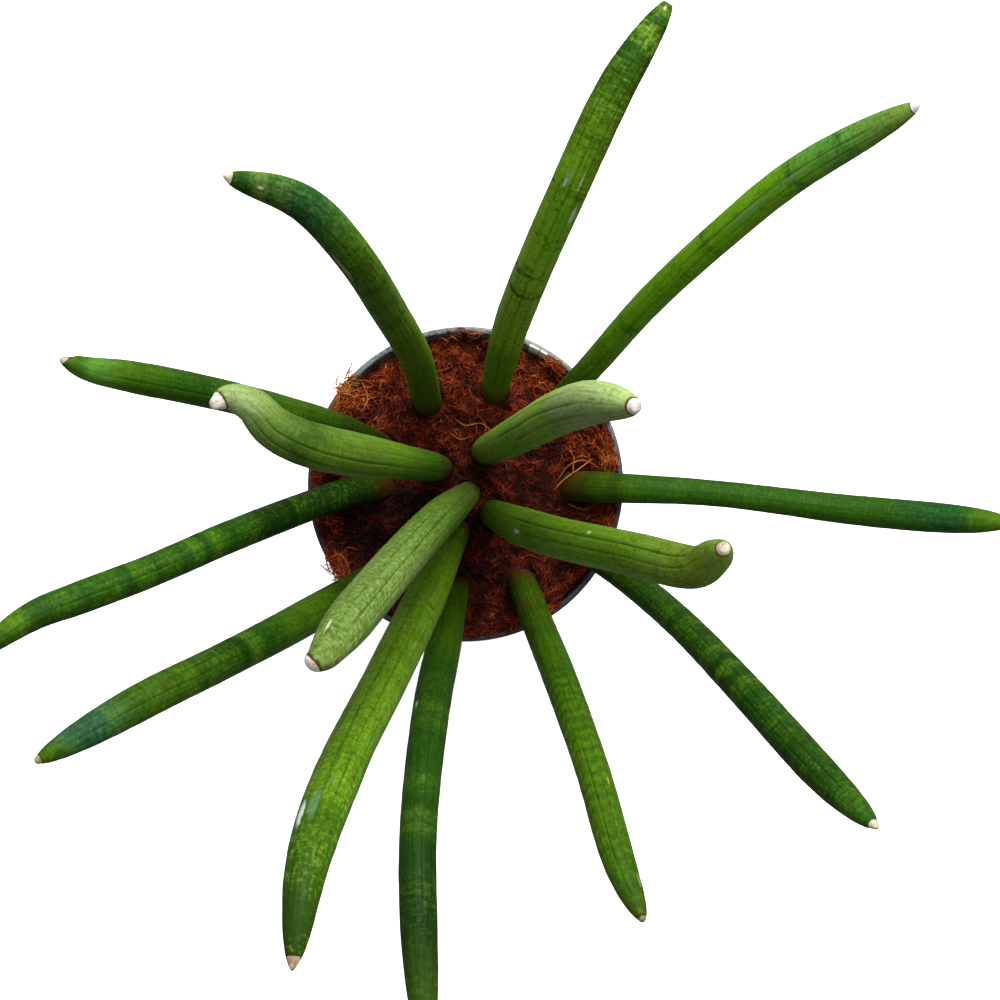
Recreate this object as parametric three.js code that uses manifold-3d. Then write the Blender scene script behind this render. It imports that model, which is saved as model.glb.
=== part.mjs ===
// Cylindrical snake plant in a round nursery pot.
// Millimetres, +Z up. The origin is the centre of the pot's underside.
import * as THREE from "three";
import { mergeVertices } from "three/addons/utils/BufferGeometryUtils.js";
import Module from "manifold-3d";

const wasm = await Module();
wasm.setup();

// ---- Driving dimensions ----------------------------------------------------

// Pot: one thin turned shell with a collar and a rolled rim
const RIM_RADIUS = 80; // outside of the rolled rim
const RIM_WIDTH = 3; // from the outside of the rim to the inner wall
const RIM_DEPTH = 3; // height of the rolled edge
const COLLAR_HEIGHT = 16; // straight band below the rim
const COLLAR_STEP = 2; // how far the collar stands out from the tapered wall
const POT_HEIGHT = 125;
const BASE_RADIUS = 57;
const WALL = 1.6;
const FLOOR = 2.4;
const POT_SEGMENTS = 44;

// Drain holes: a ring of round holes near the edge of the floor
const DRAIN_COUNT = 8;
const DRAIN_RADIUS = 5;
const DRAIN_CIRCLE = 44;

// Coir: the fibre that fills the pot
const GAP = 0.3; // clearance between touching pieces
const SOIL_LEVEL = 115; // mean height of the coir's surface
const COIR_SECTORS = 36;
const COIR_RINGS = 7;
const STRAND_COUNT = 14;
const STRAND_SIDES = 4;
const STRAND_RADIUS = 0.9;
const TUFT_RADIUS = 1.2;

// Leaves: fluted rods, rooted upright in the coir
const ROOT_DEPTH = 34; // length of leaf below the surface
const SOCKET_STATIONS = [0, 17, 34, 50]; // rings of the hole that a leaf stands in
const SOCKET_SIDES = 12;
const FLUTES = 11; // grooves around a leaf
const SIDES = 2 * FLUTES; // a groove point and a crest point for each flute
const GROOVE_DEPTH = 0.6;
const RING_STEP = 28; // spacing of the rings along the even part of a leaf
const GROOVE_FADE = 30; // distance from the leaf's end over which its grooves run out
const SHOULDER = 0.6; // green edge around the dry end
const STEP_DEPTH = 0.2; // depth of the step from that edge down to the dry end
const TIP_SHARES = [0.72, 0.5, 0.32, 0.18]; // rings of the tip, as shares of its length from the end

// girth: thickness of the leaf at the soil, half way and where the tip begins.
// taper: length of the tip. end: radius and length of the dry end, and the radius at
// its point. roll: bearing of the first groove at the leaf's foot, in degrees.
// path: points on the leaf's axis, from the soil to the end, with Z counted from the soil.
const LEAVES = [
  {
    name: "leaf_01",
    tone: "deep",
    girth: [15, 15, 15],
    taper: 58,
    end: [2.3, 4.5, 1.2],
    roll: 0,
    path: [[-20, 43, 0], [-21, 52, 92], [-28, 61, 165], [-39, 75, 212], [-56, 90, 232], [-83, 97, 243]],
  },
  {
    name: "leaf_02",
    tone: "mid",
    girth: [14.6, 16.1, 15.4],
    taper: 62,
    end: [2.4, 4.5, 1.3],
    roll: 250,
    path: [[15, 49, 0], [21, 63, 85], [30, 78, 150], [44, 103, 197], [61, 136, 220], [81, 167, 228]],
  },
  {
    name: "leaf_03",
    tone: "mid",
    girth: [12.2, 13.2, 14],
    taper: 64,
    end: [2.2, 4.5, 1.2],
    roll: 211,
    path: [
      [42, 36, 0], [63.5, 55.5, 58], [84.5, 75.5, 108], [111, 96, 152],
      [137.5, 113.5, 186], [176, 130, 222],
    ],
  },
  {
    name: "leaf_04",
    tone: "deep",
    girth: [16, 12.9, 14.8],
    taper: 55,
    end: [2.3, 4.5, 1.2],
    roll: 120,
    path: [[56, -1, 0], [80, -3.5, 25], [126, -6.5, 30], [184, -14.5, 42], [220, -19, 58], [256, -23, 82]],
  },
  {
    name: "leaf_05",
    tone: "deep",
    girth: [13.4, 14, 14.6],
    taper: 60,
    end: [2.4, 4.5, 1.4],
    roll: 123,
    path: [
      [52, -28, 0], [75, -46, 55], [96.5, -67.5, 108], [116, -92, 155],
      [139, -122, 200], [154, -139, 232],
    ],
  },
  {
    name: "leaf_06",
    tone: "mid",
    girth: [15, 15.3, 14.1],
    taper: 54,
    end: [1.9, 3, 1.2],
    roll: 86,
    path: [
      [29, -51, 0], [36, -71, 55], [44.5, -94, 105], [55.5, -127, 150],
      [64, -159, 180], [72, -179, 200],
    ],
  },
  {
    name: "leaf_07",
    tone: "deep",
    girth: [13.6, 16.4, 14.9],
    taper: 70,
    end: [2.3, 4.5, 1.2],
    roll: 71,
    path: [
      [-5, -54, 0], [-8, -77, 75], [-12, -105, 130], [-15, -145, 170],
      [-14, -181, 190], [-10, -229, 206],
    ],
  },
  {
    name: "leaf_08",
    tone: "mid",
    girth: [15.6, 17.9, 16.1],
    taper: 90,
    end: [2.1, 6, 0.7],
    roll: 56,
    path: [
      [-6, -25, 0], [-14, -54, 110], [-26, -87, 205], [-34.5, -110, 280],
      [-40.5, -134, 325], [-42.5, -162, 347],
    ],
  },
  {
    name: "leaf_09",
    tone: "pale",
    girth: [13.4, 16.6, 16.6],
    taper: 50,
    end: [3.5, 3.5, 2.6],
    roll: 40,
    path: [
      [1, -5, 0], [-9, -24, 140], [-20, -43, 225], [-29.5, -58, 268],
      [-35.5, -68, 294], [-39, -73.5, 303], [-43.5, -77, 307],
    ],
  },
  {
    name: "leaf_10",
    tone: "pale",
    girth: [14.4, 15.4, 15.6],
    taper: 58,
    end: [2.5, 3, 1.8],
    roll: 186,
    path: [[9.5, 17, 0], [20, 10.5, 130], [30, 8.5, 215], [39, 8.5, 268], [49, 7.5, 305], [58, 3.5, 329]],
  },
  {
    name: "leaf_11",
    tone: "mid",
    girth: [14.6, 16.8, 16],
    taper: 55,
    end: [2.8, 3.5, 2],
    roll: 147,
    path: [
      [14, -15, 0], [26, -25, 110], [42, -33, 185], [65, -40, 240],
      [82.5, -45, 268], [88, -42, 282], [88.5, -39, 298],
    ],
  },
  {
    name: "leaf_12",
    tone: "pale",
    girth: [13.4, 14.2, 16.5],
    taper: 56,
    end: [3.7, 5.5, 1.8],
    roll: 302,
    path: [
      [-13.5, 8.5, 0], [-16.5, 2, 105], [-29, -1.7, 190], [-42, -3, 242],
      [-52.5, -1, 259], [-61, 3.3, 265], [-67.5, 10.3, 269], [-75, 12.8, 272],
      [-80.7, 9.3, 275],
    ],
  },
  {
    name: "leaf_13",
    tone: "deep",
    girth: [13.4, 14.2, 14],
    taper: 60,
    end: [2.3, 4, 1.4],
    roll: 333,
    path: [
      [-44, 20, 0], [-61, 25, 45], [-86, 29, 95], [-111, 32, 135],
      [-134, 34, 165], [-147, 35, 180], [-156, 38, 190],
    ],
  },
  {
    name: "leaf_14",
    tone: "deep",
    girth: [14, 14.9, 14.7],
    taper: 75,
    end: [2.3, 4.5, 1.2],
    roll: 11,
    path: [
      [-44, -1, 0], [-59, -6, 28], [-79, -15, 48], [-108, -30, 85],
      [-137, -45, 108], [-164, -57, 127], [-181.5, -65, 137.5], [-203, -82, 150],
    ],
  },
  {
    name: "leaf_15",
    tone: "deep",
    girth: [14.8, 16.3, 15],
    taper: 64,
    end: [2.2, 4, 1.4],
    roll: 20,
    path: [
      [-39, -43, 0], [-60, -59, 70], [-77, -71, 120], [-97, -83, 160],
      [-121, -96, 190], [-156, -117, 215],
    ],
  },
];

const LEAF_COLOURS = { deep: 0x35601a, mid: 0x4a7a22, pale: 0x6f9c4b };

// ---- Solids ----------------------------------------------------------------

// A closed three.js geometry as a solid that can be joined and cut.
function toSolid(geometry) {
  const bare = geometry.clone();
  bare.deleteAttribute("normal");
  bare.deleteAttribute("uv");
  const merged = mergeVertices(bare, 1e-4);
  const mesh = new wasm.Mesh({
    numProp: 3,
    vertProperties: new Float32Array(merged.attributes.position.array),
    triVerts: new Uint32Array(merged.index.array),
  });
  return new wasm.Manifold(mesh);
}

function toGeometry(solid) {
  const mesh = solid.getMesh();
  return indexedGeometry(mesh.vertProperties, mesh.triVerts);
}

function indexedGeometry(positions, triangles) {
  const geometry = new THREE.BufferGeometry();
  geometry.setAttribute("position", new THREE.BufferAttribute(Float32Array.from(positions), 3));
  geometry.setIndex(Array.from(triangles));
  geometry.computeVertexNormals();
  return geometry;
}

// Closes a stack of rings, each a list of the same number of points, with a fan at each end.
function closedStack(rings) {
  const sides = rings[0].length;
  const points = rings.flat();
  const triangles = [];
  for (let ring = 0; ring + 1 < rings.length; ring += 1) {
    for (let side = 0; side < sides; side += 1) {
      const a = ring * sides + side;
      const b = ring * sides + ((side + 1) % sides);
      triangles.push(a, b, b + sides, a, b + sides, a + sides);
    }
  }
  const first = points.push(centreOf(rings[0])) - 1;
  const last = points.push(centreOf(rings[rings.length - 1])) - 1;
  const top = (rings.length - 1) * sides;
  for (let side = 0; side < sides; side += 1) {
    const next = (side + 1) % sides;
    triangles.push(first, next, side, last, top + side, top + next);
  }
  return indexedGeometry(points.flatMap((point) => point.toArray()), triangles);
}

function centreOf(ring) {
  const centre = new THREE.Vector3();
  ring.forEach((point) => centre.add(point));
  return centre.divideScalar(ring.length);
}

// Sweeps a section along a curve. radiusAt(distance, side) gives the section's points,
// and the section keeps its roll from ring to ring.
function sweep(curve, distances, sides, radiusAt, roll = 0) {
  const length = curve.getLength();
  const normal = new THREE.Vector3();
  const rings = distances.map((distance, index) => {
    const u = THREE.MathUtils.clamp(distance / length, 0, 1);
    const tangent = curve.getTangentAt(u);
    if (index === 0) {
      normal.set(Math.cos(roll), Math.sin(roll), 0);
    }
    normal.addScaledVector(tangent, -normal.dot(tangent)).normalize();
    const binormal = new THREE.Vector3().crossVectors(tangent, normal);
    const centre = curve.getPointAt(u);
    return Array.from({ length: sides }, (_, side) => {
      const angle = (2 * Math.PI * side) / sides;
      const radius = radiusAt(distance, side);
      return centre
        .clone()
        .addScaledVector(normal, radius * Math.cos(angle))
        .addScaledVector(binormal, radius * Math.sin(angle));
    });
  });
  return closedStack(rings);
}

// ---- Leaves ----------------------------------------------------------------

// The leaf's axis from its buried foot to its end. The foot stands nearly upright.
function leafCurve(leaf) {
  const [base, next] = leaf.path;
  const lean = 0.12;
  const foot = [base[0] - lean * (next[0] - base[0]), base[1] - lean * (next[1] - base[1]), -ROOT_DEPTH];
  const points = [foot, ...leaf.path].map(([x, y, z]) => new THREE.Vector3(x, y, z + SOIL_LEVEL));
  return new THREE.CatmullRomCurve3(points, false, "catmullrom", 0.5);
}

// Radius of the leaf's crests at a distance along its axis from the foot.
function crestRadius(leaf, length, distance) {
  const [base, middle, shoulder] = leaf.girth.map((girth) => girth / 2);
  const [stubRadius] = leaf.end;
  const toEnd = length - distance;
  const along = (distance - ROOT_DEPTH) / (length - leaf.taper - ROOT_DEPTH);
  const body =
    along < 0.5
      ? THREE.MathUtils.lerp(base, middle, THREE.MathUtils.smoothstep(along, 0, 0.5))
      : THREE.MathUtils.lerp(middle, shoulder, THREE.MathUtils.smoothstep(along, 0.5, 1));
  const closing = Math.max(0, 1 - toEnd / leaf.taper);
  return Math.max(stubRadius + SHOULDER, body * Math.sqrt(1 - closing ** 2.5));
}

function leafGeometry(leaf) {
  const curve = leafCurve(leaf);
  const [stubRadius, stubLength, pointRadius] = leaf.end;
  const length = curve.getLength();
  const [foot, ...buried] = SOCKET_STATIONS;
  const emerged = buried[buried.length - 1];
  const even = length - leaf.taper - emerged;
  const steps = Math.round(even / RING_STEP);
  const upper = Array.from({ length: steps }, (_, step) => emerged + (even * (step + 1)) / steps);
  const tip = TIP_SHARES.map((share) => length - share * leaf.taper);
  const stub = length - stubLength;
  const distances = [foot + 2 * GAP, ...buried, ...upper, ...tip, stub, stub + STEP_DEPTH, length];
  const radiusAt = (distance, side) => {
    if (distance > stub) {
      return distance < length ? stubRadius : pointRadius;
    }
    const crest = crestRadius(leaf, length, distance);
    const groove = GROOVE_DEPTH * THREE.MathUtils.smoothstep(length - distance, stubLength, GROOVE_FADE);
    return side % 2 === 0 ? crest - groove : crest;
  };
  return sweep(curve, distances, SIDES, radiusAt, THREE.MathUtils.degToRad(leaf.roll));
}

// The plain hole that the leaf stands in, up to a little above the surface.
function socketSolid(leaf) {
  const curve = leafCurve(leaf);
  const length = curve.getLength();
  const widest = Math.max(...SOCKET_STATIONS.map((distance) => crestRadius(leaf, length, distance)));
  const radius = (widest + GAP) / Math.cos(Math.PI / SOCKET_SIDES);
  return toSolid(sweep(curve, SOCKET_STATIONS, SOCKET_SIDES, () => radius));
}

// ---- Coir ------------------------------------------------------------------

// Height of the coir's surface: soft mounds that settle a little towards the wall.
function coirHeight(x, y) {
  const mounds = 1.3 * Math.sin(0.11 * x + 0.05 * y + 0.9) * Math.cos(0.1 * y - 0.04 * x);
  const lumps = 0.9 * Math.sin(0.31 * x - 0.17 * y) + 0.7 * Math.cos(0.27 * y + 0.23 * x + 2);
  const settling = 2.2 * (Math.hypot(x, y) / RIM_RADIUS) ** 4;
  return SOIL_LEVEL + mounds + lumps - settling;
}

// Inner radius of the pot's wall at a height.
function innerRadius(z) {
  const collarFoot = POT_HEIGHT - COLLAR_HEIGHT;
  const top = RIM_RADIUS - RIM_WIDTH;
  const underCollar = top - COLLAR_STEP;
  if (z > collarFoot) {
    return THREE.MathUtils.mapLinear(z, collarFoot, POT_HEIGHT, underCollar, top);
  }
  return THREE.MathUtils.mapLinear(z, FLOOR, collarFoot, BASE_RADIUS - WALL, underCollar);
}

function circle(radius, heightAt) {
  return Array.from({ length: COIR_SECTORS }, (_, sector) => {
    const angle = (2 * Math.PI * sector) / COIR_SECTORS;
    const x = radius * Math.cos(angle);
    const y = radius * Math.sin(angle);
    return new THREE.Vector3(x, y, heightAt(x, y));
  });
}

function coirBody() {
  const bottom = FLOOR + GAP;
  const collarFoot = POT_HEIGHT - COLLAR_HEIGHT;
  const side = [bottom, collarFoot];
  const rings = side.map((z) => circle(innerRadius(z) - GAP, () => z));
  const edge = innerRadius(SOIL_LEVEL - 3) - GAP;
  for (let ring = COIR_RINGS; ring > 0; ring -= 1) {
    rings.push(circle((edge * ring) / COIR_RINGS, coirHeight));
  }
  return toSolid(closedStack(rings));
}

// A small repeatable random number source.
function randomSource(seed) {
  let state = seed;
  return () => {
    state = (Math.imul(state, 1664525) + 1013904223) >>> 0;
    return state / 4294967296;
  };
}

function strandSolid(points, radius) {
  const curve = new THREE.CatmullRomCurve3(points, false, "catmullrom", 0.5);
  const length = curve.getLength();
  const stations = [0, 0.25, 0.5, 0.75, 1].map((share) => share * length);
  return toSolid(sweep(curve, stations, STRAND_SIDES, () => radius));
}

// Coarse strands that arch out of the surface with both ends sunk, clear of every leaf.
function coirStrands() {
  const random = randomSource(11);
  const bases = LEAVES.map((leaf) => [leaf.path[0], leaf.path[1]]);
  const strands = [];
  while (strands.length < STRAND_COUNT) {
    const reach = 66 * Math.sqrt(random());
    const bearing = 2 * Math.PI * random();
    const heading = 2 * Math.PI * random();
    const length = 14 + 12 * random();
    const bend = 5 * (random() - 0.5);
    const lift = 1.4 + 1.6 * random();
    const points = [-0.5, -0.25, 0, 0.25, 0.5].map((share) => {
      const along = share * length;
      const aside = bend * Math.cos(Math.PI * share);
      const x = reach * Math.cos(bearing) + along * Math.cos(heading) - aside * Math.sin(heading);
      const y = reach * Math.sin(bearing) + along * Math.sin(heading) + aside * Math.cos(heading);
      const rise = lift * Math.cos(Math.PI * share) - 2 * (1 - Math.cos(Math.PI * share));
      return new THREE.Vector3(x, y, coirHeight(x, y) + rise);
    });
    const inPot = points.every((point) => Math.hypot(point.x, point.y) < 71);
    const clear = bases.every(([base, next]) => points.every((point) => {
      const lean = 6 / next[2];
      const x = base[0] + lean * (next[0] - base[0]);
      const y = base[1] + lean * (next[1] - base[1]);
      return Math.hypot(point.x - x, point.y - y) > 11.5;
    }));
    if (inPot && clear) {
      strands.push(strandSolid(points, STRAND_RADIUS));
    }
  }
  return strands;
}

// Tufts that spill over the rim: bearing in degrees, and the reach past the rim.
const TUFTS = [
  [141, 4],
  [146, 1],
  [211, 2],
  [216, 5],
  [221, 1],
];

function tuftStrands() {
  const overRim = POT_HEIGHT + TUFT_RADIUS + 1.2;
  const profile = (past) => [
    [RIM_RADIUS - 12, SOIL_LEVEL - 5],
    [RIM_RADIUS - 9, SOIL_LEVEL + 3],
    [RIM_RADIUS - 4, overRim],
    [RIM_RADIUS + past, overRim],
  ];
  return TUFTS.map(([bearing, past]) => {
    const angle = THREE.MathUtils.degToRad(bearing);
    const outward = new THREE.Vector3(Math.cos(angle), Math.sin(angle), 0);
    const points = profile(past).map(([r, z]) => outward.clone().multiplyScalar(r).setZ(z));
    return strandSolid(points, TUFT_RADIUS);
  });
}

function coirGeometry() {
  let coir = coirBody();
  for (const strand of [...coirStrands(), ...tuftStrands()]) {
    coir = coir.add(strand);
  }
  for (const leaf of LEAVES) {
    coir = coir.subtract(socketSolid(leaf));
  }
  return toGeometry(coir);
}

// ---- Pot -------------------------------------------------------------------

function potProfile() {
  const collarFoot = POT_HEIGHT - COLLAR_HEIGHT;
  const collar = RIM_RADIUS - RIM_WIDTH + WALL;
  const roll = 0.7; // rounding of the rolled edge
  const outer = [
    [0, 0],
    [BASE_RADIUS - 2, 0],
    [BASE_RADIUS, 2],
    [innerRadius(collarFoot) + WALL, collarFoot - 2],
    [collar - 0.4, collarFoot],
    [collar, POT_HEIGHT - RIM_DEPTH],
    [RIM_RADIUS, POT_HEIGHT - RIM_DEPTH],
    [RIM_RADIUS, POT_HEIGHT - roll],
    [RIM_RADIUS - roll, POT_HEIGHT],
  ];
  const inner = [
    [RIM_RADIUS - RIM_WIDTH + roll, POT_HEIGHT],
    [RIM_RADIUS - RIM_WIDTH, POT_HEIGHT - roll],
    [innerRadius(collarFoot), collarFoot],
    [innerRadius(FLOOR), FLOOR],
    [0, FLOOR],
  ];
  return [...outer, ...inner].map(([r, z]) => new THREE.Vector2(r, z));
}

function potGeometry() {
  const shell = new THREE.LatheGeometry(potProfile(), POT_SEGMENTS).rotateX(Math.PI / 2);
  let pot = toSolid(shell);
  for (let hole = 0; hole < DRAIN_COUNT; hole += 1) {
    const angle = (2 * Math.PI * hole) / DRAIN_COUNT;
    const drill = new THREE.CylinderGeometry(DRAIN_RADIUS, DRAIN_RADIUS, 4 * FLOOR, 12)
      .rotateX(Math.PI / 2)
      .translate(DRAIN_CIRCLE * Math.cos(angle), DRAIN_CIRCLE * Math.sin(angle), FLOOR / 2);
    pot = pot.subtract(toSolid(drill));
  }
  return toGeometry(pot);
}

// ---- Plant in its pot ------------------------------------------------------

function part(name, geometry, colour, roughness) {
  const material = new THREE.MeshStandardMaterial({ color: colour, roughness, metalness: 0 });
  const mesh = new THREE.Mesh(geometry, material);
  mesh.name = name;
  return mesh;
}

const plant = new THREE.Group();
plant.add(part("pot", potGeometry(), 0x2c3331, 0.45));
plant.add(part("coir", coirGeometry(), 0x7a3218, 0.95));
for (const leaf of LEAVES) {
  plant.add(part(leaf.name, leafGeometry(leaf), LEAF_COLOURS[leaf.tone], 0.4));
}

export default plant;
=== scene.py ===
# The looks of a cylindrical snake plant in its round nursery pot.
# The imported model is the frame. Each of its nodes is replaced by a finer piece of the same form.
import math

import bpy
import numpy as np
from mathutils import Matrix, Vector


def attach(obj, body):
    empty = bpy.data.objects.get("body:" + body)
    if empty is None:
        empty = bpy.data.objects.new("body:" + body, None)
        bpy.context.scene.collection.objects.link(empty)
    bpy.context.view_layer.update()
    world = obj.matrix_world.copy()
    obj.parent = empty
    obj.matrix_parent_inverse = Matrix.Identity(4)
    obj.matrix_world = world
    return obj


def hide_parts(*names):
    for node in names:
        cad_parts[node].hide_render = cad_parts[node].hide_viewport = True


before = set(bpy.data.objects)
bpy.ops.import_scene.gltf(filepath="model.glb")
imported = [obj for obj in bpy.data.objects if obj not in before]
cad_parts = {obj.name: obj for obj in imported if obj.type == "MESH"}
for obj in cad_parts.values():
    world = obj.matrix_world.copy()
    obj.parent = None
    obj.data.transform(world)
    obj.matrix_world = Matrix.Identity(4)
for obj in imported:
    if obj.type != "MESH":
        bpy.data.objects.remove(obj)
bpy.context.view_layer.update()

MM = 0.001  # sizes below are in millimetres, and Blender works in metres

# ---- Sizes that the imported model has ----

RIM_RADIUS = 80
RIM_WIDTH = 3
RIM_DEPTH = 3
COLLAR_HEIGHT = 16
COLLAR_STEP = 2
POT_HEIGHT = 125
BASE_RADIUS = 57
WALL = 1.6
FLOOR = 2.4
DRAIN_COUNT = 8
DRAIN_RADIUS = 5
DRAIN_CIRCLE = 44
GAP = 0.3
SOIL_LEVEL = 115
ROOT_DEPTH = 34
COLLAR_FOOT = POT_HEIGHT - COLLAR_HEIGHT
SOCKET_DEPTH = 50  # length of leaf, from its foot, that the hole in the coir takes
FLUTES = 11

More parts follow.
